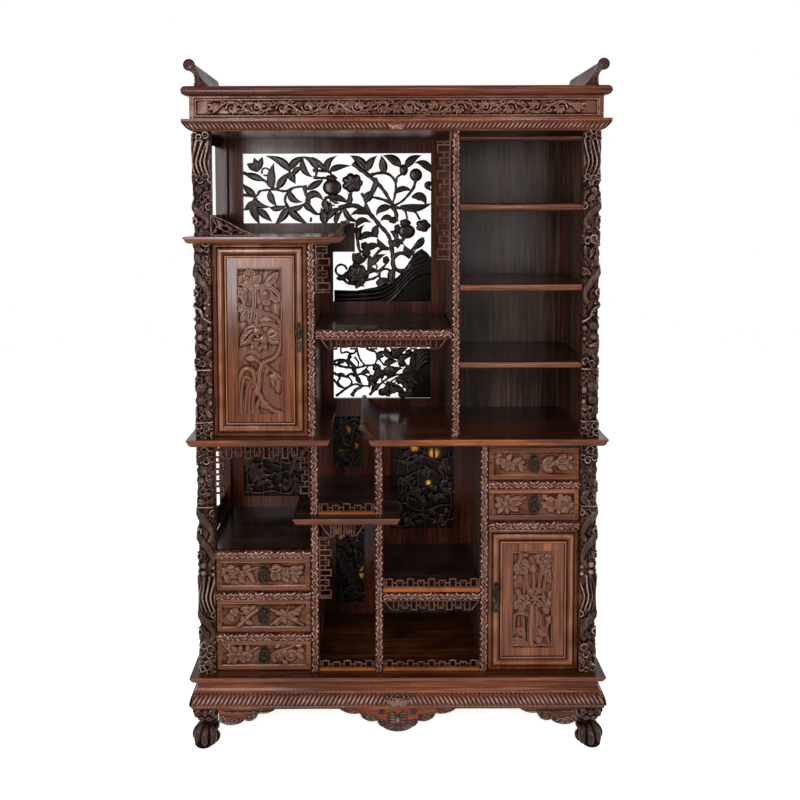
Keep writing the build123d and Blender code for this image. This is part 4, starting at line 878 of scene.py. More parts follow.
# Dark backing with a painted glow: amber light seen through the openwork, painted where the relief attribute
# says the glow falls
def makeBacking():
    material, tree, shader = newMaterial("backingWithPaintedGlow")
    place = addNode(tree, "ShaderNodeTexCoord").outputs["Object"]
    glowAmount = addNode(tree, "ShaderNodeAttribute", {"attribute_name": "relief"}).outputs["Fac"]
    scale = (1 / (14 * mm), 1 / (14 * mm), 1 / (40 * mm))
    streaky = addNode(tree, "ShaderNodeMapping", inputs={"Vector": place, "Scale": scale}).outputs[0]
    streaks = addNode(tree, "ShaderNodeTexNoise", inputs={"Vector": streaky, "Scale": 1.0, "Detail": 4.0})
    level = addNode(tree, "ShaderNodeMath", {"operation": "MULTIPLY"}, {0: glowAmount, 1: streaks.outputs["Fac"]})
    tone = addNode(tree, "ShaderNodeValToRGB", inputs={"Fac": level.outputs[0]})
    # painted light: the amber and pale yellow stops are a glow of light seen through the openwork
    rampColours(tone, ((0.05, "#080504"), (0.16, "#4a2a0c"), (0.28, "#c07c1e"), (0.42, "#ffc050")))
    tree.links.new(tone.outputs[0], shader.inputs["Base Color"])
    shader.inputs["Roughness"].default_value = 0.4
    shader.inputs["Specular IOR Level"].default_value = 0.1
    return material


def inPlace(x, z, y, thickness):
    return {"unit": 1, "offset": (0, 0), "x": x, "z": z, "y": y, "thickness": thickness}


# The four pierced panels of the lower bays, each over a dark panel. patches is where a painted amber glow of
# light lies on that panel:
# across, up and how far it spreads. leaves are the long ones, and the others are scattered.
lowerPanels = {
    "openworkLeftBay": {
        "x": (-542, -295), "z": (671, 938), "seed": 3,
        "trunk": (96, 140, 120, 108, 150, 84, 176, 104, 182, 150, 166, 190),
        "patches": (),
        "leaves": (
            (20, 200, 40, 160, 80, 150, 24), (24, 210, 52, 176, 96, 168, 24),
            (30, 222, 64, 196, 104, 190, 22), (40, 236, 76, 216, 112, 212, 20),
            (12, 186, 22, 140, 58, 124, 22), (10, 168, 14, 118, 44, 98, 20),
            (150, 250, 166, 214, 160, 176, 24), (176, 252, 184, 222, 178, 190, 18),
            (128, 250, 146, 220, 146, 188, 16), (60, 60, 86, 84, 92, 120, 18),
            (200, 120, 226, 92, 240, 60, 20), (196, 150, 222, 130, 244, 110, 20),
            (190, 176, 220, 168, 244, 172, 20), (100, 20, 112, 46, 106, 74, 16),
            (160, 14, 150, 46, 168, 72, 18),
        ),
    },
    "openworkWell": {
        "x": (-221, -119), "z": (779, 960), "seed": 4,
        "patches": ((-176, 906, 25), (-184, 824, 24), (-140, 850, 14)),
        "leaves": (
            (10, 40, 40, 50, 56, 84, 18), (30, 120, 52, 104, 86, 112, 22), (16, 150, 44, 136, 70, 150, 18),
        ),
    },
    "openworkNarrow": {
        "x": (-214, -111), "z": (281, 691), "seed": 5,
        "patches": (
            (-195, 505, 24), (-168, 530, 28), (-133, 374, 28), (-126, 405, 18), (-180, 565, 18),
            (-150, 620, 16),
        ),
        "leaves": tuple(
            (6 + 9 * k, 190 + 10 * k, 24 + 10 * k, 290 + 6 * k, 92, 384 - 4 * k, 9) for k in range(7)
        ) + ((20, 30, 44, 60, 36, 100, 20), (80, 20, 60, 56, 74, 92, 20), (18, 120, 50, 132, 84, 110, 18)),
    },
    "openworkRightBay": {
        "x": (-15, 211), "z": (551, 948), "seed": 6, "flower": (52, 60),
        "patches": ((68, 842, 26), (140, 822, 30), (178, 768, 24), (120, 714, 16), (40, 880, 14)),
        "leaves": (
            (24, 40, 60, 30, 90, 52, 24), (20, 92, 54, 100, 84, 84, 22), (200, 40, 190, 80, 210, 120, 24),
            (214, 140, 190, 160, 200, 200, 24), (206, 220, 184, 240, 196, 280, 22),
            (30, 150, 66, 160, 98, 140, 22), (24, 210, 58, 220, 92, 204, 22),
            (40, 280, 76, 270, 104, 292, 24), (150, 300, 176, 280, 210, 300, 24),
        ),
    },
}
# How closely a lower panel is filled: from branch to branch down and across, and the area for each
# leaf and each blossom. Then where its face and the panel behind it are, and how thick it is.
filling = {"down": 54, "across": 46, "leafArea": 1050, "blossomArea": 5200, "face": 199.5, "behind": 211.0,
           "thickness": 10}
glowBacking = makeBacking()
for name, bay in lowerPanels.items():
    (left, right), (foot, head) = bay["x"], bay["z"]
    width, height = right - left, head - foot
    rows, columns = round(height / filling["down"]), round(width / filling["across"])
    panel = inPlace(left, head, filling["face"], filling["thickness"])
    rng = random.Random(bay["seed"])
    work = newSculpture()
    for *numbers, girth in bay["leaves"]:
        addLeaf(work, panel, *pairs(numbers), girth)
    for k in range(rows):                                           # branches that wander across the panel
        level = height * (k + 0.5) / rows
        line = [(width * t, level + rng.uniform(-22, 22)) for t in (-0.02, 0.2, 0.42, 0.62, 0.82, 1.02)]
        addStem(work, panel, line, rng.uniform(7, 11), 0.1)
    for k in range(columns):                                        # and up it
        across = width * (k + 0.5) / columns
        line = [(across + rng.uniform(-16, 16), height * t) for t in (-0.01, 0.25, 0.5, 0.75, 1.01)]
        addStem(work, panel, line, rng.uniform(7, 10), 0.1)
    for _ in range(round(width * height / filling["leafArea"])):
        spot = np.array((rng.uniform(6, width - 6), rng.uniform(6, height - 6)))
        x, z = left + spot[0], head - spot[1]
        if any(math.hypot(x - across, z - up) < spread for across, up, spread in bay["patches"]):
            continue
        angle, reach = rng.uniform(0, 6.28), rng.uniform(24, 40)
        tip = np.clip(spot + reach * np.array((math.cos(angle), math.sin(angle))), 2, (width - 2, height - 2))
        bend = (spot + tip) / 2 + rng.uniform(-7, 7) * np.array((-math.sin(angle), math.cos(angle)))
        if np.hypot(*(tip - spot)) > 12:
            addLeaf(work, panel, spot, bend, tip, rng.uniform(13, 19), rng.uniform(-0.1, 0.1))
    for _ in range(round(width * height / filling["blossomArea"])):
        spot = (rng.uniform(20, width - 20), rng.uniform(20, height - 20))
        addDome(work, panel, spot, (rng.uniform(13, 19),) * 2, rng.choice((5, 6)), 0.04, layers=3)
    if "trunk" in bay:
        addStem(work, panel, pairs(bay["trunk"]), 34, 0.35, -0.12)
    if "flower" in bay:
        addRing(work, panel, bay["flower"], 27, 11)
        addDome(work, panel, bay["flower"], (18, 18), 6, 0.04, layers=3)
    finishSculpture(work, name, "openwork", "pierced_panels_lower")
    across, up = np.meshgrid(np.linspace(left, right, 44), np.linspace(foot, head, 60))
    # painted glow on the backing, strongest at each patch
    glowAmount = np.zeros_like(across)
    for x, z, spread in bay["patches"]:
        glowAmount = glowAmount + np.exp(-((across - x) ** 2 + (up - z) ** 2) / (0.7 * spread) ** 2)
    plate = newSculpture()
    front = np.stack([across * mm, np.full_like(across, filling["behind"] * mm), up * mm], axis=-1)
    addShell(plate, front, front + (0, 1.5 * mm, 0), np.clip(glowAmount, 0, 1))
    newPiece(name + "Backing", plate["verts"], plate["faces"], glowBacking, "case", False, plate["relief"])
print("lower openwork carved")


# Floral scroll of the posts, rails and shelf edges: a winding stem with a curl and leaves in each bend
def carveScroll(field, seed, rise, bend):
    rng = random.Random(seed)
    width, length = field["u"][-1], field["v"][-1]
    middle = width / 2
    count = max(2, round(length / bend))
    half = length / count
    swing = width * 0.27
    line = [(middle + swing * math.sin(math.pi * v / half), v) for v in np.linspace(0, length, count * 5 + 1)]
    stemMotif(field, line, width * 0.16, rise * 0.75, 0)
    for i in range(count):
        v, side = (i + 0.5) * half, 1 if i % 2 == 0 else -1
        curlMotif(field, middle - side * width * 0.06, v, width * 0.25, rise, rng.uniform(0, 6), side,
                  width * 0.15)
        for hand, lift in ((1, 1.0), (-1, 0.9)):
            turn = hand * (math.pi / 2 + side * rng.uniform(0.5, 1.1))
            leafMotif(field, middle - side * width * 0.14, v + hand * half * 0.2, turn, width * 0.5,
                      width * 0.26, rise * lift, hand * 0.2)
        leafMotif(field, middle + side * width * 0.3, v + half * 0.45, math.pi / 2 + side * 0.3, width * 0.4,
                  width * 0.2, rise * 0.8)
        if i % 3 == 1:
            blossomMotif(field, middle - side * width * 0.04, v, width * 0.24, 5, rise * 1.05,
                         rng.uniform(0, 3))
        knobMotif(field, middle - side * width * 0.36, v + half * 0.5, width * 0.09, rise * 0.8)


# A carved bar: a post (upright) or a rail. It stands out to the front only, so that whatever
# slides or swings beside it stays clear.
scrollBars = {"step": 1.4, "rise": 3.4, "bend": 25, "curve": 7.0, "sunk": 1.4}
barDepth = (-190, -164)


def carvedBar(name, x, z, depth, upright, seed, sunk=scrollBars["sunk"]):
    across, along = (x, z) if upright else (z, x)
    field = newField(across[1] - across[0], along[1] - along[0], scrollBars["step"])
    carveScroll(field, seed, scrollBars["rise"], scrollBars["bend"])
    half = (across[1] - across[0]) / 2

    def toSpace(a, b, y):
        return (a * mm, y * mm, b * mm) if upright else (b * mm, y * mm, a * mm)

    def place(u, v, h):
        s = np.clip(np.abs(u / half - 1), 0, 1)
        curve = scrollBars["curve"] * (1 - np.cbrt(1 - s ** 3))
        y = depth[0] + sunk + curve - h * np.clip((1 - s) * 6, 0, 1)
        return toSpace(across[0] + u, along[0] + v, y)

    def back(u, v):
        return toSpace(across[0] + u, along[0] + v, np.full_like(u, depth[1]))

    return closeField(name, field, place, back, finishes["scrollCarving"], reach=3.4)


posts = {
    "postDrawersLow": ((-272, -246), (241, 721)), "postDrawersHigh": ((-272, -246), (746, 968)),
    "postNarrowLow": ((-70, -44), (241, 721)), "postNarrowHigh": ((-70, -44), (746, 968)),
    "postRightBay": ((260, 286), (241, 968)), "postCupboard": ((-278, -252), (993, 1598)),
    "postBooks": ((170, 196), (993, 1940)),
}
for seed, (name, (x, z)) in enumerate(posts.items()):
    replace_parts(carvedBar(name, x, z, barDepth, True, seed), "carved_posts")
rails = {
    "railDrawerOne": ((-572, -272), (340, 365)), "railDrawerTwo": ((-572, -272), (473, 498)),
    "railDrawerFour": ((286, 572), (826, 851)), "railDoorRight": ((286, 572), (696, 721)),
}
for seed, (name, (x, z)) in enumerate(rails.items()):
    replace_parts(carvedBar(name, x, z, barDepth, False, 20 + seed), "carved_rails")
shelfEdges = {
    "edgeDrawerShelf": ((-572, -272), (606, 631)), "edgeLowShelf": ((-44, 260), (471, 496)),
    "edgeCentreShelf": ((-252, 170), (1303, 1329)),
}
for seed, (name, (x, z)) in enumerate(shelfEdges.items()):
    carvedBar(name, x, z, (barDepth[0], -172), False, 30 + seed, sunk=-0.6)


# Plain rails that share a node with the carved ones: a section drawn along x, rounded or square
def plainRail(name, x, z, node, rounded):
    half, middle = (z[1] - z[0]) / 2, (z[0] + z[1]) / 2
    front, rear = barDepth
    turns = np.linspace(-1.57, 1.57, 15)
    section = [(front + half * (1 - math.cos(a)), middle + half * math.sin(a)) for a in turns]
    if not rounded:
        section = [(front + 1, z[0]), (front, z[0] + 1), (front, z[1] - 1), (front + 1, z[1])]
    section = [(rear, z[0])] + section + [(rear, z[1])]
    count = len(section)
    verts = [(end * mm, y * mm, up * mm) for end in x for y, up in section]
    faces = [(i, (i + 1) % count, count + (i + 1) % count, count + i) for i in range(count)]
    faces += [tuple(range(count)), tuple(range(count, 2 * count))]
    piece = newPiece(name, verts, faces, finishes["across"], smooth=False)
    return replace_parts(piece, node)


plainRail("railUnderMiddleBoard", (286, 572), (956, 968), "carved_rails", False)
plainRail("railOverBooks", (196, 572), (1909, 1924), "carved_rails", True)
print("posts and rails carved")


def leafBetween(field, x, y, tipX, tipY, width, rise, bend=0.0):
    length = math.dist((x, y), (tipX, tipY))
    leafMotif(field, x, y, math.atan2(tipY - y, tipX - x), length, width, rise, bend)


def stemThrough(field, points, width, rise, taper):
    stemMotif(field, pairs(points), width, rise, taper)


# A field on an upright face, from its lower left corner. ground and behind are how far back it is.
def onUprightFace(name, field, corner, ground, behind, material, body="case", reach=4.5, spread=4.5):
    def place(u, v, h):
        return (corner[0] + u) * mm, (ground - h) * mm, (corner[1] + v) * mm

    def back(u, v):
        return (corner[0] + u) * mm, np.full_like(u, behind) * mm, (corner[1] + v) * mm

    return closeField(name, field, place, back, material, body, reach, spread)


# Each motif, which of its numbers is its width, and how much wider than written it is cut
motifKinds = {
    "stem": (stemThrough, 1, 1.05), "leaf": (leafBetween, 4, 1.35), "blossom": (blossomMotif, 2, 1.15),
    "knob": (knobMotif, 2, 1.1), "curl": (curlMotif, 2, 1.1),
}


# A carving that fills a sunk panel, facing the front. items are motifs by kind, with their own sizes.
def reliefPanel(name, x, z, y, items, material, body, step, border, rise):
    field = newField(x[1] - x[0], z[1] - z[0], step)
    for kind, motifs in items.items():
        carve, widthAt, wider = motifKinds[kind]
        for sizes in motifs:
            carve(field, *sizes[:widthAt], sizes[widthAt] * wider, *sizes[widthAt + 1:])
    u, v = np.meshgrid(field["u"], field["v"])
    rim = np.minimum(np.minimum(u, field["u"][-1] - u), np.minimum(v, field["v"][-1] - v))
    field["h"] *= np.clip((rim - border) / 2, 0, 1) * rise
    dug = np.clip(softened(field["h"], max(1, round(2.5 / step))) - field["h"], 0, None)
    field["h"] -= 0.8 * dug                                         # the ground dips round each motif
    bead = np.where(rim < border, 1.6 * np.sqrt(np.clip(1 - (2 * rim / border - 1) ** 2, 0, 1)), 0)
    field["h"] = np.where(rim < border, bead, field["h"])
    return onUprightFace(name, field, (x[0], z[0]), y, y + 1.5, material, body, 2.6, 5.0)


# Left door: a rock and a winding branch with fruit and long leaves. Right door: blossoms and leaves on
# upright stems. Both are measured from the panel's lower left corner, across and up in turn.
leftDoorItems = {
    "stem": (
        ((2, 2, 2, 60, 8, 118, 26, 148, 50, 138, 60, 96, 78, 50, 104, 22, 142, 4), 13, 3.4, 0.3),
        ((14, 4, 12, 50, 16, 96, 26, 122, 40, 116), 9, 3.2, 0.4),
        ((24, 4, 28, 50, 34, 92, 44, 110), 8, 3.6, 0.4), ((36, 4, 38, 44, 42, 84, 50, 98), 8, 3.2, 0.4),
        ((50, 4, 48, 40, 54, 76), 8, 3, 0.4), ((64, 4, 62, 30, 70, 52), 8, 2.6, 0.4),
        ((62, 76, 68, 104, 72, 140, 80, 164), 17, 4.4, 0.35),
        ((80, 164, 96, 174, 112, 180, 128, 196, 138, 224, 136, 256), 9, 4, 0.15),
        ((136, 256, 138, 282, 128, 304, 108, 316, 86, 322, 74, 336, 78, 346), 6.5, 3.6, 0.3),
        ((136, 270, 116, 284, 92, 288, 70, 284, 46, 268, 24, 240), 6, 3.6, 0.3),
        ((78, 160, 62, 176, 48, 184, 38, 184), 5, 3.4, 0.3),
        ((80, 164, 98, 152, 118, 136, 136, 120, 142, 104), 4.5, 3.2, 0.2),
        ((54, 330, 56, 372, 52, 404, 46, 434), 6, 3.6, 0.2),
        ((6, 350, 26, 338, 54, 332, 72, 330), 4.5, 3.2, 0.2), ((48, 404, 32, 408, 18, 416), 4, 3, 0.2),
        ((56, 396, 72, 404, 96, 412), 4, 3.2, 0.2), ((92, 396, 104, 402, 118, 396), 5, 3.6, 0.2),
        ((20, 330, 24, 352, 24, 372), 3, 2.8, 0.1),
    ),
    "leaf": (
        (78, 24, 82, 52, 8, 3), (86, 24, 96, 46, 8, 3), (58, 180, 26, 182, 13, 4),
        (56, 268, 8, 226, 26, 4.6, 0.1), (64, 280, 22, 266, 18, 4.2), (50, 222, 46, 206, 7, 3),
        (72, 216, 70, 202, 7, 3), (86, 222, 92, 208, 7, 3), (96, 250, 132, 262, 26, 3.4, 0.1),
        (100, 244, 134, 232, 20, 3), (112, 108, 116, 88, 9, 3.4), (126, 110, 132, 86, 9, 3.4),
        (124, 96, 130, 70, 9, 3.2), (98, 152, 88, 130, 8, 3), (48, 420, 24, 436, 12, 4),
        (54, 410, 76, 440, 13, 4.2), (94, 410, 130, 448, 15, 4.4), (62, 400, 38, 398, 9, 3.4),
        (76, 398, 116, 396, 13, 3.8, -0.15), (104, 400, 140, 350, 17, 4.2, 0.2),
        (110, 388, 124, 352, 12, 3.8, 0.1), (84, 360, 106, 352, 12, 4), (8, 402, 12, 370, 10, 3.4),
        (38, 336, 16, 296, 15, 4.2), (48, 334, 36, 288, 15, 4.2, 0.1), (60, 330, 62, 290, 15, 4.2),
        (70, 330, 76, 306, 11, 3.8), (30, 338, 6, 330, 10, 3.4),
    ),
    "blossom": (
        (70, 240, 24, 5, 5), (118, 120, 15, 5, 4.6), (42, 442, 14, 5, 4.6), (16, 424, 12, 5, 4.2),
        (92, 370, 12, 5, 4.4),
    ),
    "knob": ((62, 264, 14, 5), (80, 240, 14, 5.4), (90, 382, 13, 5), (24, 380, 6, 4), (24, 366, 6, 4),),
}
rightDoorItems = {
    "stem": (
        ((20, 270, 28, 296, 30, 314, 40, 322), 9, 4, 0.3), ((42, 252, 50, 220, 56, 190), 4, 3.4, 0.1),
        ((98, 270, 92, 240, 88, 206, 84, 184), 5, 3.6, 0.1), ((108, 230, 104, 200, 98, 180), 4, 3.2, 0.1),
        ((68, 252, 70, 220, 70, 186), 4.5, 3.8, 0.1), ((66, 142, 64, 100, 62, 60, 64, 16), 15, 4.6, 0.1),
        ((78, 140, 80, 100, 78, 60, 82, 30), 5, 3.8, 0.1),
        ((10, 110, 20, 118, 40, 118, 58, 110, 74, 98), 5, 4, 0.1), ((10, 108, 8, 80, 10, 50), 5, 3.6, 0.1),
        ((36, 130, 38, 92, 40, 60, 42, 16), 4, 3.2, 0.1), ((118, 92, 110, 60, 120, 16), 5, 3.8, 0.1),
        ((84, 120, 92, 104, 90, 84), 8, 4.2, 0.2), ((92, 84, 98, 70, 92, 56), 4, 3.4, 0.1),
        ((4, 34, 20, 36, 36, 30), 3, 2.6, 0.1), ((4, 24, 24, 26, 50, 22), 3, 2.6, 0.1),
        ((4, 14, 30, 16, 60, 12, 96, 16, 128, 12), 3, 2.6, 0.1),
    ),
    "leaf": (
        (28, 270, 50, 246, 16, 4.4), (34, 290, 54, 268, 14, 4), (92, 296, 78, 306, 14, 4.2),
        (104, 300, 128, 304, 12, 4), (118, 260, 108, 236, 18, 4.6), (126, 250, 130, 222, 14, 4.2),
        (112, 244, 128, 214, 12, 4), (68, 252, 68, 276, 14, 4.6), (60, 164, 44, 150, 18, 4.4),
        (92, 166, 104, 148, 18, 4.4), (24, 172, 46, 150, 20, 4.6), (22, 160, 14, 130, 14, 4),
        (40, 150, 26, 128, 15, 4.2), (20, 70, 44, 46, 16, 3.6), (110, 140, 112, 114, 12, 4),
        (112, 104, 130, 92, 10, 4), (88, 44, 90, 18, 12, 4), (98, 60, 108, 44, 9, 3.8),
        (126, 190, 120, 164, 9, 3.4), (8, 228, 14, 240, 6, 3), (18, 196, 28, 168, 8, 3.2),
    ),
    "blossom": (
        (24, 262, 16, 6, 5), (106, 288, 22, 6, 5.2), (76, 168, 27, 6, 5.4), (112, 150, 13, 6, 4.8),
        (92, 54, 12, 6, 4.6),
    ),
    "knob": ((44, 310, 8, 4.2), (108, 286, 9, 6), (68, 262, 9, 4.8), (76, 168, 12, 6.2), (120, 98, 9, 4.6),),
}
doorCarvings = {
    "doorLeftCarving": ((-498, -354), (1058, 1521), leftDoorItems, "door_left"),
    "doorRightCarving": ((360, 492), (305, 622), rightDoorItems, "door_right"),
}
for name, (x, z, items, body) in doorCarvings.items():
    reliefPanel(name, x, z, -177.3, items, finishes["carvedWarm"], body, 1.4, 4.5, 1.25)

# Drawer fronts: a spray on each side of the pull, from the lower left corner of the sunk panel
drawerItems = {
    "drawer_3": {
        "stem": (
            ((8, 60, 28, 54, 60, 46, 96, 56, 116, 62), 4, 2.6, 0.2),
            ((156, 56, 190, 60, 226, 56, 262, 66), 3.5, 2.6, 0.2),
        ),
        "leaf": (
            (60, 26, 78, 14, 9, 3.4), (88, 48, 106, 22, 10, 3.6), (14, 58, 4, 34, 10, 3),
            (22, 62, 46, 66, 9, 3.2), (70, 60, 98, 68, 8, 3), (16, 40, 22, 18, 10, 3), (94, 60, 80, 40, 8, 3),
            (96, 30, 110, 12, 8, 3), (48, 60, 62, 54, 7, 3), (160, 52, 196, 62, 20, 3.6),
            (164, 46, 172, 18, 13, 3.4), (176, 46, 190, 22, 13, 3.4), (196, 32, 216, 14, 10, 3.4),
            (222, 50, 250, 30, 12, 3.6), (220, 58, 252, 60, 11, 3.2), (236, 44, 262, 46, 9, 3),
            (226, 34, 244, 12, 10, 3.4), (248, 66, 262, 58, 7, 3),
        ),
        "blossom": ((42, 40, 13, 5, 3.6), (66, 36, 12, 5, 3.6), (208, 44, 15, 6, 4),),
        "curl": ((24, 22, 9, 3, 1, 1, 4),),
    },
    "drawer_2": {
        "stem": (
            ((56, 6, 76, 26, 98, 46, 116, 58), 11, 4, 0.2), ((6, 20, 24, 40, 48, 52, 70, 44), 3, 2.2, 0.2),
            ((156, 10, 190, 32, 226, 52, 262, 72), 4, 3.4, 0.1),
            ((158, 60, 190, 48, 220, 30, 262, 8), 4, 3, 0.1), ((176, 8, 204, 40, 216, 72), 3, 2.4, 0.1),
        ),
        "leaf": (
            (64, 60, 90, 68, 9, 3.2), (70, 52, 96, 52, 9, 3), (92, 60, 112, 70, 8, 3),
            (20, 44, 44, 20, 13, 2.6), (28, 56, 54, 40, 11, 2.6), (40, 62, 58, 50, 9, 2.6),
            (78, 20, 104, 12, 8, 3), (184, 30, 168, 10, 8, 3), (196, 36, 206, 12, 8, 3),
            (210, 46, 232, 30, 8, 3), (224, 50, 252, 44, 8, 3), (206, 42, 190, 62, 8, 3),
            (236, 60, 258, 56, 7, 3), (196, 46, 172, 48, 7, 2.8), (226, 28, 246, 26, 7, 2.8),
        ),
        "knob": ((70, 30, 6, 4),),
    },
    "drawer_1": {
        "stem": (
            ((4, 74, 20, 56, 44, 36, 66, 40, 88, 46, 116, 60), 4, 3, 0.1),
            ((158, 34, 180, 48, 206, 56, 238, 70), 4, 3.2, 0.1),
        ),
        "leaf": (
            (46, 36, 18, 8, 10, 3.4), (50, 34, 38, 6, 9, 3.4), (54, 38, 14, 34, 9, 3.2),
            (52, 40, 34, 66, 10, 3.4), (56, 40, 64, 68, 10, 3.4), (60, 36, 76, 10, 12, 3.6),
            (66, 40, 94, 16, 12, 3.6), (70, 42, 102, 30, 9, 3.2), (84, 48, 84, 70, 9, 3),
            (24, 54, 26, 72, 8, 3), (164, 32, 172, 10, 9, 3.2), (206, 56, 196, 34, 8, 3),
            (244, 40, 262, 20, 10, 3.2), (242, 50, 264, 50, 9, 3.2), (236, 66, 262, 70, 8, 3),
            (196, 16, 210, 4, 8, 2.8), (170, 60, 188, 70, 7, 2.8),
        ),
        "blossom": ((54, 38, 10, 5, 4.2), (182, 30, 13, 5, 3.8), (222, 32, 9, 6, 4),),
        "curl": ((222, 32, 19, 3.8, 0, 1, 6),),
    },
    "drawer_4": {
        "stem": (
            ((48, 42, 76, 50, 106, 62), 3.5, 2.8, 0.1), ((152, 44, 180, 38, 210, 30, 246, 60), 3.5, 2.8, 0.1),
        ),
        "leaf": (
            (50, 44, 86, 62, 12, 3.6), (54, 40, 94, 44, 11, 3.4), (50, 34, 84, 18, 12, 3.6),
            (32, 46, 10, 62, 11, 3.4), (30, 40, 6, 34, 11, 3.4), (34, 32, 16, 10, 11, 3.4),
            (44, 30, 48, 8, 9, 3.2), (42, 54, 52, 70, 9, 3), (170, 60, 156, 68, 7, 3),
            (206, 60, 218, 70, 8, 3), (206, 22, 210, 6, 8, 3), (170, 38, 156, 26, 8, 3),
        ),
        "blossom": (
            (42, 42, 13, 5, 3.8), (182, 50, 11, 5, 3.6), (206, 40, 13, 6, 4), (232, 52, 12, 5, 3.8),
            (184, 24, 10, 5, 3.4), (228, 24, 12, 5, 3.6), (246, 38, 9, 5, 3.4),
        ),
    },
    "drawer_5": {
        "stem": (
            ((6, 62, 30, 54, 52, 42, 78, 36, 104, 26), 4, 3, 0.1),
            ((150, 34, 180, 38, 204, 42, 250, 34), 3.5, 2.8, 0.1),
        ),
        "leaf": (
            (20, 58, 14, 34, 11, 3.4), (34, 54, 34, 22, 12, 3.6), (52, 44, 44, 14, 11, 3.4),
            (58, 42, 66, 14, 11, 3.4), (44, 50, 60, 70, 11, 3.4), (64, 42, 90, 60, 12, 3.6),
            (80, 36, 102, 48, 9, 3.2), (12, 62, 30, 72, 8, 3), (84, 34, 94, 12, 9, 3.2),
            (156, 40, 192, 60, 14, 3.8), (160, 34, 198, 40, 12, 3.6), (158, 28, 190, 14, 12, 3.6),
            (204, 50, 232, 66, 12, 3.6), (206, 42, 240, 46, 12, 3.6), (204, 34, 236, 20, 12, 3.6),
            (236, 56, 254, 62, 8, 3), (238, 30, 254, 22, 8, 3),
        ),
        "blossom": ((204, 42, 9, 5, 4),),
    },
}
for name, items in drawerItems.items():
    low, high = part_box(name + "_front")
    x, z = (low[0] / mm + 12, high[0] / mm - 12), (low[2] / mm + 12, high[2] / mm - 12)
    reliefPanel(name + "Carving", x, z, low[1] / mm + 2.7, items, finishes["drawerCarving"], name, 1.35, 3.0,
                1.15)
print("doors and drawers carved")


# Door frames: a mitred moulding. How far in from the edge, how far it stands out, and how light it is
# painted: dark in the quirks as painted shade, light on the rounds as painted highlight. Then which of those
# lines are sharp.
doorMoulding = (
    (0, -24, 0.3), (0, -1, 0.5), (1, 0, 0.8), (9.5, 0, 0.45), (10.8, -0.2, 0.2), (11.4, -1.4, 0),
    (12.4, -1.0, 0), (13.2, 1.2, 0.25), (15, 2.8, 0.55), (18, 3.9, 0.8), (22, 4.3, 0.85), (26, 4.1, 0.7),
    (30, 3.4, 0.5), (33.5, 2.2, 0.35), (35.2, 0.8, 0.05), (36, 0.8, 0), (36.7, 3.4, 0.4), (38, 5.4, 0.8),
    (39.7, 6, 1), (41.4, 5.4, 0.75), (43.2, 2.4, 0.25), (44, -1, 0), (44, -24, 0),
)
sharpLines = {0, 1, 5, 6, 15, 21, 22}


def mouldedFrame(name, node, body):
    low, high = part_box(node)
    x, z, face = (low[0], high[0]), (low[2], high[2]), high[1] - 24 * mm
    verts, faces, relief = [], [], []
    for inset, stand, paintedLightLevel in doorMoulding:
        d, y = inset * mm, face - stand * mm
        verts += [(x[0] + d, y, z[0] + d), (x[1] - d, y, z[0] + d),
                  (x[1] - d, y, z[1] - d), (x[0] + d, y, z[1] - d)]
        relief += [paintedLightLevel] * 4
    count = len(doorMoulding)
    for i in range(count):
        for k in range(4):
            m, j = (k + 1) % 4, (i + 1) % count
            faces.append((4 * i + k, 4 * i + m, 4 * j + m, 4 * j + k))
    piece = newPiece(name, verts, faces, finishes["doorMoulding"], body, relief=relief)
    for edge in piece.data.edges:
        a, b = edge.vertices
        edge.use_edge_sharp = a % 4 == b % 4 or bool({a // 4, b // 4} & sharpLines)
    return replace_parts(piece, node)


for side in ("left", "right"):
    mouldedFrame(f"door{side.title()}Moulding", f"door_{side}_frame", f"door_{side}")
print("door mouldings made")


# Frieze: a winding stem with curled leaves in each bend, a blossom in the middle, in a raised border
frieze = {"bend": 76.5, "swing": 18, "firstBend": 127, "endBorder": 21, "edgeBorder": 12, "rise": 4.0,
          "step": 1.5}


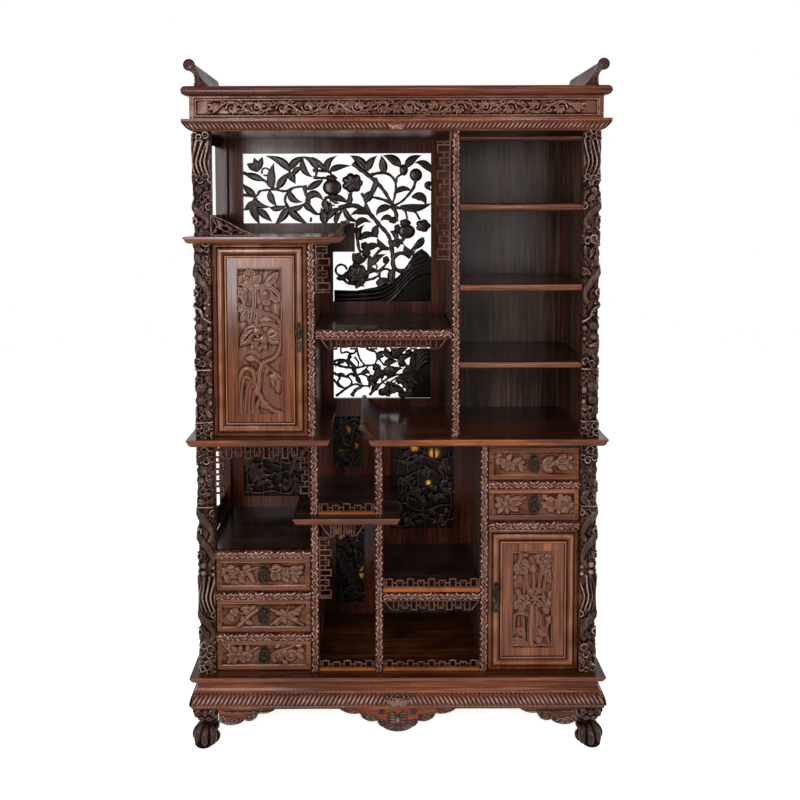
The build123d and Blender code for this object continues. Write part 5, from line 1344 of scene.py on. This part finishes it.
def carveFrieze():
    low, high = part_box("frieze")
    x, z, y = (low[0] / mm, high[0] / mm), (low[2] / mm, high[2] / mm), low[1] / mm
    field = newField(x[1] - x[0], z[1] - z[0], frieze["step"])
    length, middle, rise = field["u"][-1], field["v"][-1] / 2, frieze["rise"]
    bend, first, swing = frieze["bend"], frieze["firstBend"], frieze["swing"]
    for hand in (1, -1):
        def at(u):
            return u if hand > 0 else length - u

        def angled(a):
            return a if hand > 0 else math.pi - a

        reaches = np.arange(first - bend * 0.62, length / 2 - 24, 7)
        line = [(at(u), middle + swing * math.cos(math.pi * (u - first) / bend)) for u in reaches]
        stemMotif(field, line, 6.5, rise * 0.85, 0)
        for k in range(7):
            u, up = first + k * bend, 1 if k % 2 == 0 else -1
            curlMotif(field, at(u + 2), middle - up * 2, 18, rise, math.pi if hand > 0 else 0, -up * hand, 6)
            for turn, reach in ((0.2, 25), (0.9, 20), (1.6, 18), (2.4, 16), (-0.6, 23)):
                leafMotif(field, at(u + 4), middle - up * 4, angled(-up * turn), reach, 11, rise * 0.95,
                          0.2 * up)
            leafMotif(field, at(u - bend / 2), middle, angled(up * 0.9), 18, 8, rise * 0.8)
            leafMotif(field, at(u - bend / 2), middle, angled(-up * 2.2), 16, 8, rise * 0.8)
            knobMotif(field, at(u + bend / 2 - 4), middle + up * 17, 3, rise * 0.7)
            for shift, lift in ((-26, 13), (24, 15), (38, -8)):
                curlMotif(field, at(u + shift), middle + up * lift, 8, rise * 0.85, 2 * k, up * hand, 4.5)
            leafMotif(field, at(u + 30), middle + up * 2, angled(up * 0.4), 20, 10, rise * 0.85, 0.2)
        for turn, reach in ((2.8, 34), (3.3, 30), (2.2, 20), (4.0, 22), (1.5, 16)):
            leafMotif(field, at(first - bend * 0.55), middle, angled(turn), reach, 12, rise)
        for shift in (26, 48):
            curlMotif(field, at(length / 2 - shift), middle - 10, 9, rise, 1, hand, 4)
            leafMotif(field, at(length / 2 - shift), middle + 4, angled(1.9), 17, 9, rise)
            leafMotif(field, at(length / 2 - shift - 8), middle, angled(3.6), 16, 8, rise * 0.9)
    blossomMotif(field, length / 2, middle + 2, 17, 6, rise * 1.1)
    for turn in (3.6, 4.3, 5.1, 5.8):
        leafMotif(field, length / 2, middle, turn, 22, 9, rise)
    u, v = np.meshgrid(field["u"], field["v"])
    inside = np.minimum((np.minimum(u, length - u) - frieze["endBorder"]) / 2,
                        (np.minimum(v, field["v"][-1] - v) - frieze["edgeBorder"]) / 2)
    field["h"] *= np.clip(inside, 0, 1)
    groove = np.abs(inside + 2.4) < 0.7
    field["h"] = np.where(inside < 0, np.where(groove, 1.4, 2.8), field["h"])
    onUprightFace("friezeCarving", field, (x[0], z[0]), y - 0.3, y + 2, finishes["friezeCarving"])


carveFrieze()
print("frieze carved")


# Geometry Nodes row: repeats its own mesh at equal steps
def makeRowTree():
    tree = bpy.data.node_groups.new("carvedRow", "GeometryNodeTree")
    sockets = {"Geometry": "Geometry", "Count": "Int", "Spacing": "Vector", "Finish": "Material"}
    for name, kind in sockets.items():
        tree.interface.new_socket(name, in_out="INPUT", socket_type="NodeSocket" + kind)
    tree.interface.new_socket("Geometry", in_out="OUTPUT", socket_type="NodeSocketGeometry")
    given = addNode(tree, "NodeGroupInput").outputs
    line = addNode(tree, "GeometryNodeMeshLine", {"mode": "OFFSET"}, {
        "Count": given["Count"], "Offset": given["Spacing"]})
    placed = addNode(tree, "GeometryNodeInstanceOnPoints", inputs={
        "Points": line.outputs[0], "Instance": given["Geometry"]})
    real = addNode(tree, "GeometryNodeRealizeInstances", inputs={"Geometry": placed.outputs[0]})
    finished = addNode(tree, "GeometryNodeSetMaterial", inputs={
        "Geometry": real.outputs[0], "Material": given["Finish"]})
    addNode(tree, "NodeGroupOutput", inputs={"Geometry": finished.outputs[0]})
    return tree


rowTree = makeRowTree()


def repeatedRow(name, shape, count, spacing):
    verts, faces, relief = shape
    seed = newPiece(name + "Seed", verts, faces, finishes["scrollCarving"], relief=relief)
    modifier = seed.modifiers.new("row", "NODES")
    modifier.node_group = rowTree
    wanted = {"Count": count, "Spacing": spacing, "Finish": finishes["scrollCarving"]}
    for item in rowTree.interface.items_tree:
        if item.in_out == "INPUT" and item.name in wanted:
            modifier[item.identifier] = wanted[item.name]
    evaluated = seed.evaluated_get(bpy.context.evaluated_depsgraph_get())
    mesh = bpy.data.meshes.new_from_object(evaluated)
    bpy.data.objects.remove(seed)
    mesh.name = name
    piece = bpy.data.objects.new(name, mesh)
    bpy.context.scene.collection.objects.link(piece)
    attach(piece, "case")
    return piece


# One slanting lobe of a band's gadroons. face(z) is how far the band stands out, and toSpace(a, out, z)
# puts the lobe in place.
def gadroon(band, lean, face, toSpace):
    width, z, height = band["width"], band["z"], band["height"]
    rows, cols = 9, 6
    front, behind, relief = [], [], []
    for i in range(rows):
        t = i / (rows - 1)
        swell = math.sin(math.pi * (0.06 + 0.88 * t)) ** 0.45 * (1.05 - 0.3 * t)
        up = z[0] + (z[1] - z[0]) * t
        for j in range(cols):
            s = 2 * j / (cols - 1) - 1
            a = lean * (t - 0.5) + s * width / 2 * swell
            rise = height * math.sqrt(1 - 0.96 * s * s) * swell
            front.append(toSpace(a, face(up) + rise, up))
            behind.append(toSpace(a, face(up) - 1.5, up))
            # painted highlight on each lobe's crown, painted shade at its edges
            relief.append(0.05 + 0.9 * (rise / height) ** 1.5)
    work = newSculpture()
    addShell(work, np.array(front).reshape(rows, cols, 3), np.array(behind).reshape(rows, cols, 3), relief)
    return work["verts"], work["faces"], work["relief"]


def bead(radius, toSpace, out, z):
    rings, spokes = 4, 7
    turns = [k * 2 * math.pi / spokes for k in range(spokes)]
    verts = [toSpace(0, out + radius, z)]
    for i in range(1, rings):
        r, rise = radius * math.sin(math.pi * i / rings), radius * math.cos(math.pi * i / rings)
        verts += [toSpace(r * math.cos(turn), out + rise, z + r * math.sin(turn)) for turn in turns]
    verts.append(toSpace(0, out - radius, z))
    faces = [(0, 1 + k, 1 + (k + 1) % spokes) for k in range(spokes)]
    for i in range(rings - 2):
        faces += [(1 + i * spokes + k, 1 + (i + 1) * spokes + k, 1 + (i + 1) * spokes + (k + 1) % spokes,
                   1 + i * spokes + (k + 1) % spokes) for k in range(spokes)]
    last = len(verts) - 1
    faces += [(last, last - 1 - k, last - 1 - (k + 1) % spokes) for k in range(spokes)]
    return verts, faces, [0.8] * len(verts)


# The bands under the base board and in the cornice: slanting gadroons, mirrored about the middle, with a
# row of beads beside them. inset is how far the band's face lies back at its foot and at its head.
edgeBands = {
    "base": {"x": 649, "front": -224, "rear": 213, "z": (153, 187), "inset": (0, 9), "width": 14.5,
             "lean": -22, "height": 6.5, "pitch": 14.0, "beadZ": 148.5, "beadOut": 1.0, "centreOut": 7},
    "cornice": {"x": 650, "front": -225, "rear": 213, "z": (1943, 1966), "inset": (22, 2), "width": 13.5,
                "lean": 17, "height": 5.5, "pitch": 13.4, "beadZ": 1970, "beadOut": 0.2, "centreOut": -4},
}
edgeBeads = {"radius": 2.6, "pitch": 7, "sunk": 1.4}
for name, band in edgeBands.items():
    low, high = band["z"]

    def face(z):
        return np.interp(z, (low, high), (-band["inset"][0], -band["inset"][1]))

    half, deep = band["x"] - 12, band["rear"] - band["front"] - 14
    count, sideCount = int(half / band["pitch"]), int(deep / band["pitch"])
    for side, hand in (("Left", -1), ("Right", 1)):
        def along(a, out, z):
            return hand * (10 + a) * mm, (band["front"] - out) * mm, z * mm

        def aside(a, out, z):
            return hand * (band["x"] + out) * mm, (band["front"] + 9 + a) * mm, z * mm

        step, sideStep = (hand * (half / count) * mm, 0, 0), (0, deep / sideCount * mm, 0)
        repeatedRow(f"{name}Gadroons{side}", gadroon(band, band["lean"], face, along), count, step)
        repeatedRow(f"{name}SideGadroons{side}", gadroon(band, -band["lean"], face, aside), sideCount,
                    sideStep)
        pitch = edgeBeads["pitch"]
        spot = band["beadOut"] - edgeBeads["sunk"], band["beadZ"]
        repeatedRow(f"{name}Beads{side}", bead(edgeBeads["radius"], along, *spot), int(half / pitch) + 1,
                    (hand * pitch * mm, 0, 0))
        repeatedRow(f"{name}SideBeads{side}", bead(edgeBeads["radius"], aside, *spot), int(deep / pitch),
                    (0, pitch * mm, 0))
centre = newSculpture()
for band in edgeBands.values():
    low, high = band["z"]
    panel = inPlace(0, (low + high) / 2, band["front"] - band["centreOut"], 11)
    reach = (high - low) * 0.6
    for lean in (-2.3, 2.3, -1.6, 1.6, -0.9, 0.9, -0.3, 0.3):
        addLeaf(centre, panel, (lean * 3, reach * 0.8), (reach * 0.6 * lean, reach * 0.3),
                (reach * lean, -reach * 0.7), 12)
    addDome(centre, panel, (0, 3), (9, 11), 5, layers=3)
finishSculpture(centre, "bandCentres", "scrollCarving", shade=0.8)
print("gadroons set")


# Fretwork: bars that run in one plane. plane(a, b, depth) puts along, across and depth in space. The
# depth runs back from the fronts of the bays, or inwards from the open sides.
fretFaces = {"front": -186, "side": -609}


def addBar(work, plane, start, end, width, depth):
    start, end = np.array(start, float), np.array(end, float)
    direction = (end - start) / np.linalg.norm(end - start)
    normal = np.array((-direction[1], direction[0]))
    flat = 0.5 - 1.2 / width
    section = ((-0.5, 1.3), (-flat, 0), (flat, 0), (0.5, 1.3), (0.5, depth), (-0.5, depth))
    first = len(work["verts"])
    for spot in (start - direction * width / 2, end + direction * width / 2):
        work["verts"] += [plane(*(spot + normal * s * width), d) for s, d in section]
    # painted light: the bar's front face is painted lighter and its back darker, as highlight and shade
    work["relief"] += [0.5, 0.75, 0.75, 0.5, 0.2, 0.2] * 2
    for i, j in ((0, 1), (1, 2), (2, 3), (3, 4), (4, 5), (5, 0)):
        work["faces"].append((first + i, first + j, first + 6 + j, first + 6 + i))
    work["faces"] += [tuple(range(first, first + 6)), tuple(range(first + 6, first + 12))]


# Squares hang from a rail towards tip and are linked half way; every other one holds a hook
def fretRow(work, plane, along, rail, tip, count, slanted=False, ends=True, width=4.6, depth=10):
    inward = 1 if tip > rail else -1
    railLine, tipLine = rail + inward * width / 2, tip - inward * width / 2
    middle = (railLine + tipLine) / 2
    a, b = along[0] + width / 2, along[1] - width / 2
    addBar(work, plane, (a, railLine), (b, railLine), width, depth)
    lean = abs(tip - rail) * 0.7 if slanted else 0
    pitch = (b - a - 2 * lean) / count
    size = pitch * 0.56
    for i in range(count):
        s0 = a + lean + pitch * (i + 0.22)
        s1 = s0 + size
        foot = tipLine if i % 2 == 0 else tipLine - inward * abs(tip - rail) * 0.16
        for s in (s0, s1):
            addBar(work, plane, (s, railLine), (s, foot), width, depth)
        addBar(work, plane, (s0, foot), (s1, foot), width, depth)
        if i % 2:
            addBar(work, plane, ((s0 + s1) / 2, foot), ((s0 + s1) / 2, middle), width * 0.8, depth)
        if i < count - 1:
            addBar(work, plane, (s1, middle), (s0 + pitch, middle), width, depth)
    if slanted:
        for end, sign, near in ((a, 1, a + lean + pitch * 0.22), (b, -1, b - lean - pitch * 0.22)):
            addBar(work, plane, (end, railLine), (end + sign * lean, tipLine), width, depth)
            addBar(work, plane, (end + sign * lean, tipLine), (near, tipLine), width, depth)
    elif ends:
        for end, near in ((a, a + pitch * 0.22), (b, b - pitch * 0.22)):
            addBar(work, plane, (end, railLine), (end, tipLine), width, depth)
            addBar(work, plane, (end, middle), (near, middle), width, depth)


def frontPlane(x, z, depth):
    return x * mm, (fretFaces["front"] + depth) * mm, z * mm


def uprightPlane(z, x, depth):
    return x * mm, (fretFaces["front"] + depth) * mm, z * mm


fretwork = newSculpture()
fretRow(fretwork, frontPlane, (-572, -272), 968, 924, 8, slanted=True)
fretRow(fretwork, uprightPlane, (803, 960), -572, -540, 4, ends=False)
fretRow(fretwork, uprightPlane, (803, 960), -272, -304, 4, ends=False)
addBar(fretwork, frontPlane, (-569, 966), (-569, 803), 5, 10)
addBar(fretwork, frontPlane, (-275, 966), (-275, 803), 5, 10)
fretRow(fretwork, frontPlane, (-237, 155), 1300, 1266, 11, slanted=True)
fretRow(fretwork, uprightPlane, (1443, 1598), -252, -206, 4)
fretRow(fretwork, uprightPlane, (1544, 1909), 170, 124, 9)
fretRow(fretwork, frontPlane, (-246, -96), 721, 675, 5, slanted=True)
fretRow(fretwork, uprightPlane, (476, 675), -246, -206, 6)
fretRow(fretwork, frontPlane, (-44, 260), 471, 437, 9, slanted=True)
addBar(fretwork, frontPlane, (166, 1938), (166, 1546), 8, 10)
finishSculpture(fretwork, "fretwork", "fret", "fretwork", smooth=False)

# Low rails at the shelves' front edges: from and to, foot, head, how many squares, and the plinth's height
balustrades = (
    ((-246, -70), 746, 782, 5, 7), ((-44, 260), 496, 541, 9, 14),
    ((-44, 260), 241, 277, 9, 9), ((-246, -70), 241, 277, 5, 9),
)
balustrade, plinths = newSculpture(), newSculpture()
for x, foot, head, count, plinth in balustrades:
    level = foot + plinth / 2
    fretRow(balustrade, frontPlane, x, foot + plinth, head, count)
    addBar(plinths, frontPlane, (x[0] + plinth / 2, level), (x[1] - plinth / 2, level), plinth, 10)
finishSculpture(balustrade, "balustrades", "fret", "balustrades", smooth=False)
finishSculpture(plinths, "balustradePlinths", "plinth", "balustrades", smooth=False)


def sidePlane(y, z, depth):
    return (fretFaces["side"] + depth) * mm, y * mm, z * mm


sideFrets = newSculpture()
for foot, head in ((631, 968), (1619, 1940)):
    fretRow(sideFrets, sidePlane, (-145, 175), foot, foot + 62, 8, width=5.5)
    fretRow(sideFrets, sidePlane, (-145, 175), head, head - 30, 8, slanted=True, width=5.5)
finishSculpture(sideFrets, "sideFrets", "fret", "side_frets", smooth=False)

# Openwork bracket in the corner over the cupboard: flowers and stems under a slanting rail
bracketStems = (
    (0, 0, 0, -66, 6), (0, -64, 40, -50, 84, -26, 132, -4, 6), (2, -4, 60, -3, 132, -3, 6),
    (4, -6, 18, -30, 6, -56, 5), (18, -30, 44, -16, 70, -6, 5), (60, -4, 72, -18, 92, -20, 4),
    (30, -50, 40, -34, 58, -30, 4), (40, -6, 34, -22, 22, -30, 4),
)
bracketFlowers = ((30, -34, 12), (62, -22, 10), (14, -16, 8), (92, -12, 7))
bracketLeaves = (
    (30, -34, 22, -48, 12, -52), (62, -22, 50, -34, 46, -44), (84, -8, 98, -14, 112, -8),
    (44, -10, 52, -16, 60, -12),
)
bracket = newSculpture()
panel = inPlace(-572, 1619, -188, 12)
for *numbers, width in bracketStems:
    addStem(bracket, panel, pairs(numbers), width, 0)
for x, down, size in bracketFlowers:
    addDome(bracket, panel, (x, down), (size, size), 5, layers=2)
for numbers in bracketLeaves:
    addLeaf(bracket, panel, *pairs(numbers), 8)
finishSculpture(bracket, "cornerBracket", "carved", "side_frets", shade=0.72)
print("fretwork fitted")


# Aprons: cloud scrolls inside the lobed edges. Points are across from the middle and below the moulding,
# and the last number of a curl is its size.
apronCurls = (
    (551, 33, 7), (533, 40, 8), (514, 43, 7.5), (499, 37, 6), (474, 31, 7.5), (458, 30, 7), (446, 20, 5.5),
    (428, 9, 4.5), (410, 8, 3.6), (142, 9, 5), (128, 8, 4.5), (104, 27, 7), (88, 31, 7), (72, 31, 6),
    (54, 46, 7), (40, 53, 7), (24, 60, 6.5), (8, 64, 5.5), (50, 16, 8),
)
apronEdges = (
    (562, 40, 535, 50, 508, 51.5, 492, 46, 480, 37, 466, 38, 452, 34, 441, 22, 432, 14, 414, 14, 396, 10,
     384, 2),
    (184, 1, 164, 12, 140, 17, 118, 17, 110, 32, 97, 38, 80, 42, 64, 41, 56, 56, 44, 62, 24, 72, 0, 75),
)
aprons = newSculpture()
panel = inPlace(0, 139, -217.5, 9)
for side in (-1, 1):
    for k, (x, down, size) in enumerate(apronCurls):
        addRing(aprons, panel, (side * x, down), size, size * 0.75, 1.5 + k if side > 0 else 1.6 - k, 0.88)
        addDome(aprons, panel, (side * x, down), (size * 0.5, size * 0.5))
    for edge in apronEdges:
        addStem(aprons, panel, [(side * x, down) for x, down in pairs(edge)], 4.5, 0)
    for k in range(4):
        addLeaf(aprons, panel, (side * 3, 24 + 8 * k), (side * 18, 18 + 9 * k), (side * 33, 24 + 8 * k), 9)
    for k in range(5):
        points = [(side * (x - 24 * k), down) for x, down in ((552, 8), (540, 14), (526, 10))]
        addLeaf(aprons, panel, *points, 8)
addDome(aprons, panel, (0, 40), (13, 15), 5, layers=3)
finishSculpture(aprons, "apronScrolls", "carved", shade=0.74)


# Feet: a paw that grips a ball, under a scrolled knee, modelled as balls that are melted together.
# Places are outward along x, outward along y, and up; sizes are the three radii. Toes are turned by so
# many degrees, and each follows the same path: how far out, how high and how thick.
pawShape = {
    "place": (604, 179), "voxel": 1.8, "height": 139, "toes": (-26, 10, 45, 80, 116), "outToe": 45,
    "bulk": (
        ((0, 0, 124), (41, 41, 18)), ((-1, -1, 108), (38, 38, 15)), ((-5, -5, 94), (29, 29, 14)),
        ((-8, -8, 80), (25, 25, 18)), ((-8, -8, 58), (29, 29, 20)), ((-10, -10, 20), (28, 28, 20)),
        ((9, 9, 15), (31, 31, 15.5)),
    ),
    "toePath": (
        (15, 67, 7), (22, 65, 9.5), (30, 59, 11.5), (37, 50, 12.5), (42, 40, 12), (43, 32, 10.5),
        (42, 25, 7.5),
    ),
    "kneeScrolls": ((-21, 124, 9), (21, 124, 9), (-12, 103, 8), (12, 103, 8), (0, 120, 6)),
}


def pawBalls():
    balls = list(pawShape["bulk"])
    balls += [((x, y, z), (17, 17, 15)) for x in (-22, 22) for y in (-22, 22) for z in (116, 130)]
    for toe in pawShape["toes"]:
        a = math.radians(toe)
        path = np.array(pawShape["toePath"], float)
        for t in np.linspace(0, len(path) - 1, 20):
            reach, z, size = (np.interp(t, range(len(path)), path[:, k]) for k in range(3))
            reach *= 1 + 0.06 * math.cos(math.radians(2 * (toe - pawShape["outToe"])))
            balls.append(((-5 + reach * math.sin(a), -5 + reach * math.cos(a), z), (size,) * 3))
    for across, up, size in pawShape["kneeScrolls"]:                # on the two outer faces of the knee
        for k in range(16):
            a, r = 0.5 * k, size * (1 - 0.05 * k)
            u, z = across + r * math.cos(a), up + r * math.sin(a)
            out = 38 - max(0, 112 - z) * 0.3
            balls += [((u, out, z), (3.4, 3.4, 3.4)), ((out, u, z), (3.4, 3.4, 3.4))]
    return balls


def modelFoot():
    shape = bmesh.new()
    for place, size in pawBalls():
        made = bmesh.ops.create_icosphere(shape, subdivisions=3 if size[0] > 12 else 2, radius=1)
        for vert in made["verts"]:
            vert.co = Vector([(p + c * r) * mm for p, c, r in zip(place, vert.co, size)])
    mesh = bpy.data.meshes.new("footShape")
    shape.to_mesh(mesh)
    shape.free()
    holder = bpy.data.objects.new("footShape", mesh)
    bpy.context.scene.collection.objects.link(holder)
    melt = holder.modifiers.new("melt", "REMESH")
    melt.mode, melt.voxel_size = "VOXEL", pawShape["voxel"] * mm
    smooth = holder.modifiers.new("smooth", "SMOOTH")
    smooth.factor, smooth.iterations = 0.5, 2
    result = bpy.data.meshes.new_from_object(holder.evaluated_get(bpy.context.evaluated_depsgraph_get()))
    bpy.data.objects.remove(holder)
    verts, normals = np.zeros(len(result.vertices) * 3), np.zeros(len(result.vertices) * 3)
    result.vertices.foreach_get("co", verts)
    result.vertices.foreach_get("normal", normals)
    verts, normals = verts.reshape(-1, 3), normals.reshape(-1, 3)
    links = np.zeros(len(result.edges) * 2, dtype=np.int32)
    result.edges.foreach_get("vertices", links)
    a, b = links.reshape(-1, 2).T
    near = np.bincount(np.concatenate([a, b]), minlength=len(verts))[:, None]
    around = verts.copy()
    for _ in range(16):
        total = np.zeros_like(around)
        np.add.at(total, a, around[b])
        np.add.at(total, b, around[a])
        around = total / near
    # relief from how far each point bulges out: painted highlight on the bulges, painted shade in the creases
    bulge = ((verts - around) * normals).sum(axis=1)
    verts[:, 2] = np.clip(verts[:, 2], 0, pawShape["height"] * mm)
    # painted shade: relief lowered towards the floor darkens the ball and the sole, and no place is lighter
    # than 0.78
    shade = np.clip(verts[:, 2] / (45 * mm), 0.35, 0.78)            # the ball and the sole are darker
    faces = [tuple(face.vertices) for face in result.polygons]
    return verts, faces, np.clip(0.3 + bulge / (3.0 * mm), 0, 0.95) * shade


verts, faces, relief = modelFoot()
for x, side in (("Left", -1), ("Right", 1)):
    for y, end in (("Front", -1), ("Rear", 1)):
        spot = np.array((pawShape["place"][0] * side * mm, pawShape["place"][1] * end * mm, 0))
        placed = verts * (side, end, 1) + spot
        piece = newPiece(f"foot{y}{x}", placed.tolist(), faces, finishes["carved"], relief=relief)
        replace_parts(piece, "legs")
print("feet carved")


# Scrolled ends: on the front of each flange a volute, and ridges that follow its two edges. For each end:
# where its foot starts and the board under it, the way it leans (1 is to the right), its front face, how
# much the volute outgrows the flange, and the flange's width, height, thickness and lean.
scrolledEnds = {
    "topLeft": (-565, 2075, -1, -205, 1.35, 48, 75, 13, 14),
    "topRight": (565, 2075, 1, -205, 1.35, 48, 75, 13, 14),
    "cupboardTop": (-202, 1619, 1, -213, 1.3, 30, 44, 8, 8),
    "middleBoard": (-54, 993, -1, -213, 1.3, 46, 44, 9, 8),
}
volutes = newSculpture()
for x, z, out, front, grow, width, height, size, lean in scrolledEnds.values():
    panel = inPlace(x, z, front - 4, 8)
    eye = (out * (width + lean), size * (2 - grow) * 0.4 + size * 0.6 - height)
    curl = size * grow
    addDome(volutes, panel, eye, (curl * 1.02,) * 2)
    spiral = []
    for k in range(16):
        turn, shrink = 0.6 * k + 2.6, 0.84 - 0.046 * k
        across, down = out * curl * shrink * math.cos(turn), curl * shrink * math.sin(turn)
        spiral.append((eye[0] + across, eye[1] - down))
    addStem(volutes, dict(panel, y=front - 5.5), spiral, curl * 0.36, 0.4)
    addDome(volutes, dict(panel, y=front - 6), eye, (curl * 0.24,) * 2)
    outer = [(out * (width - 4), -2), (out * (width - 4), -height * 0.4),
             (out * (width + lean - 3), size * 1.6 - height)]
    inner = [(out * 10, -3), (out * (width * 0.55), -height * 0.3),
             (out * (width + lean - size * 0.7), size - height)]
    middle = [(0.5 * (a[0] + b[0]), 0.5 * (a[1] + b[1])) for a, b in zip(inner, outer)]
    for line, girth in ((outer, 0.5), (inner, 0.4), (middle, 0.55)):
        addStem(volutes, panel, line, size * girth, 0.1)
finishSculpture(volutes, "volutes", "carved", shade=0.6)


# Ring pulls: a pierced gourd-shaped drop with a leaf in it, hung from a knuckle on the pin
def pulledDrop(name, body, node):
    low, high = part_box(node)
    width, depth, height = ((high[i] - low[i]) / mm for i in range(3))
    panel = inPlace((low[0] + high[0]) / 2 / mm, high[2] / mm, low[1] / mm, depth)
    half, work = width / 2 - 2.2, newSculpture()
    outline = [(0, 6), (half * 0.62, 9), (half * 0.7, 14), (half, 20), (half, 32),
               (half * 0.72, height - 7), (0, height - 3)]
    for side in (-1, 1):
        addStem(work, panel, [(side * u, v) for u, v in outline], 5.2 * width / 34 + 0.8, 0)
        addRing(work, panel, (side * half * 0.42, height * 0.46), half * 0.3, 2.6, side)
        addLeaf(work, panel, (0, height * 0.55), (side * half * 0.5, height * 0.62),
                (side * half * 0.6, height * 0.8), 5)
    addStem(work, panel, [(0, 4), (0, height * 0.4), (0, height - 4)], 4.4, 0)
    addDome(work, panel, (0, 3.4), (3.2, 3.2))
    addDome(work, panel, (0, height * 0.62), (5, 7), 5, layers=2)
    finishSculpture(work, name, "bronze", node, body)


for key in ("1", "2", "3", "4", "5"):
    pulledDrop(f"dropDrawer{key}", f"drop_{key}", f"drawer_{key}_drop")
for key in ("left", "right"):
    pulledDrop(f"dropDoor{key.title()}", f"drop_{key}", f"door_{key}_drop")
print("pulls cast")
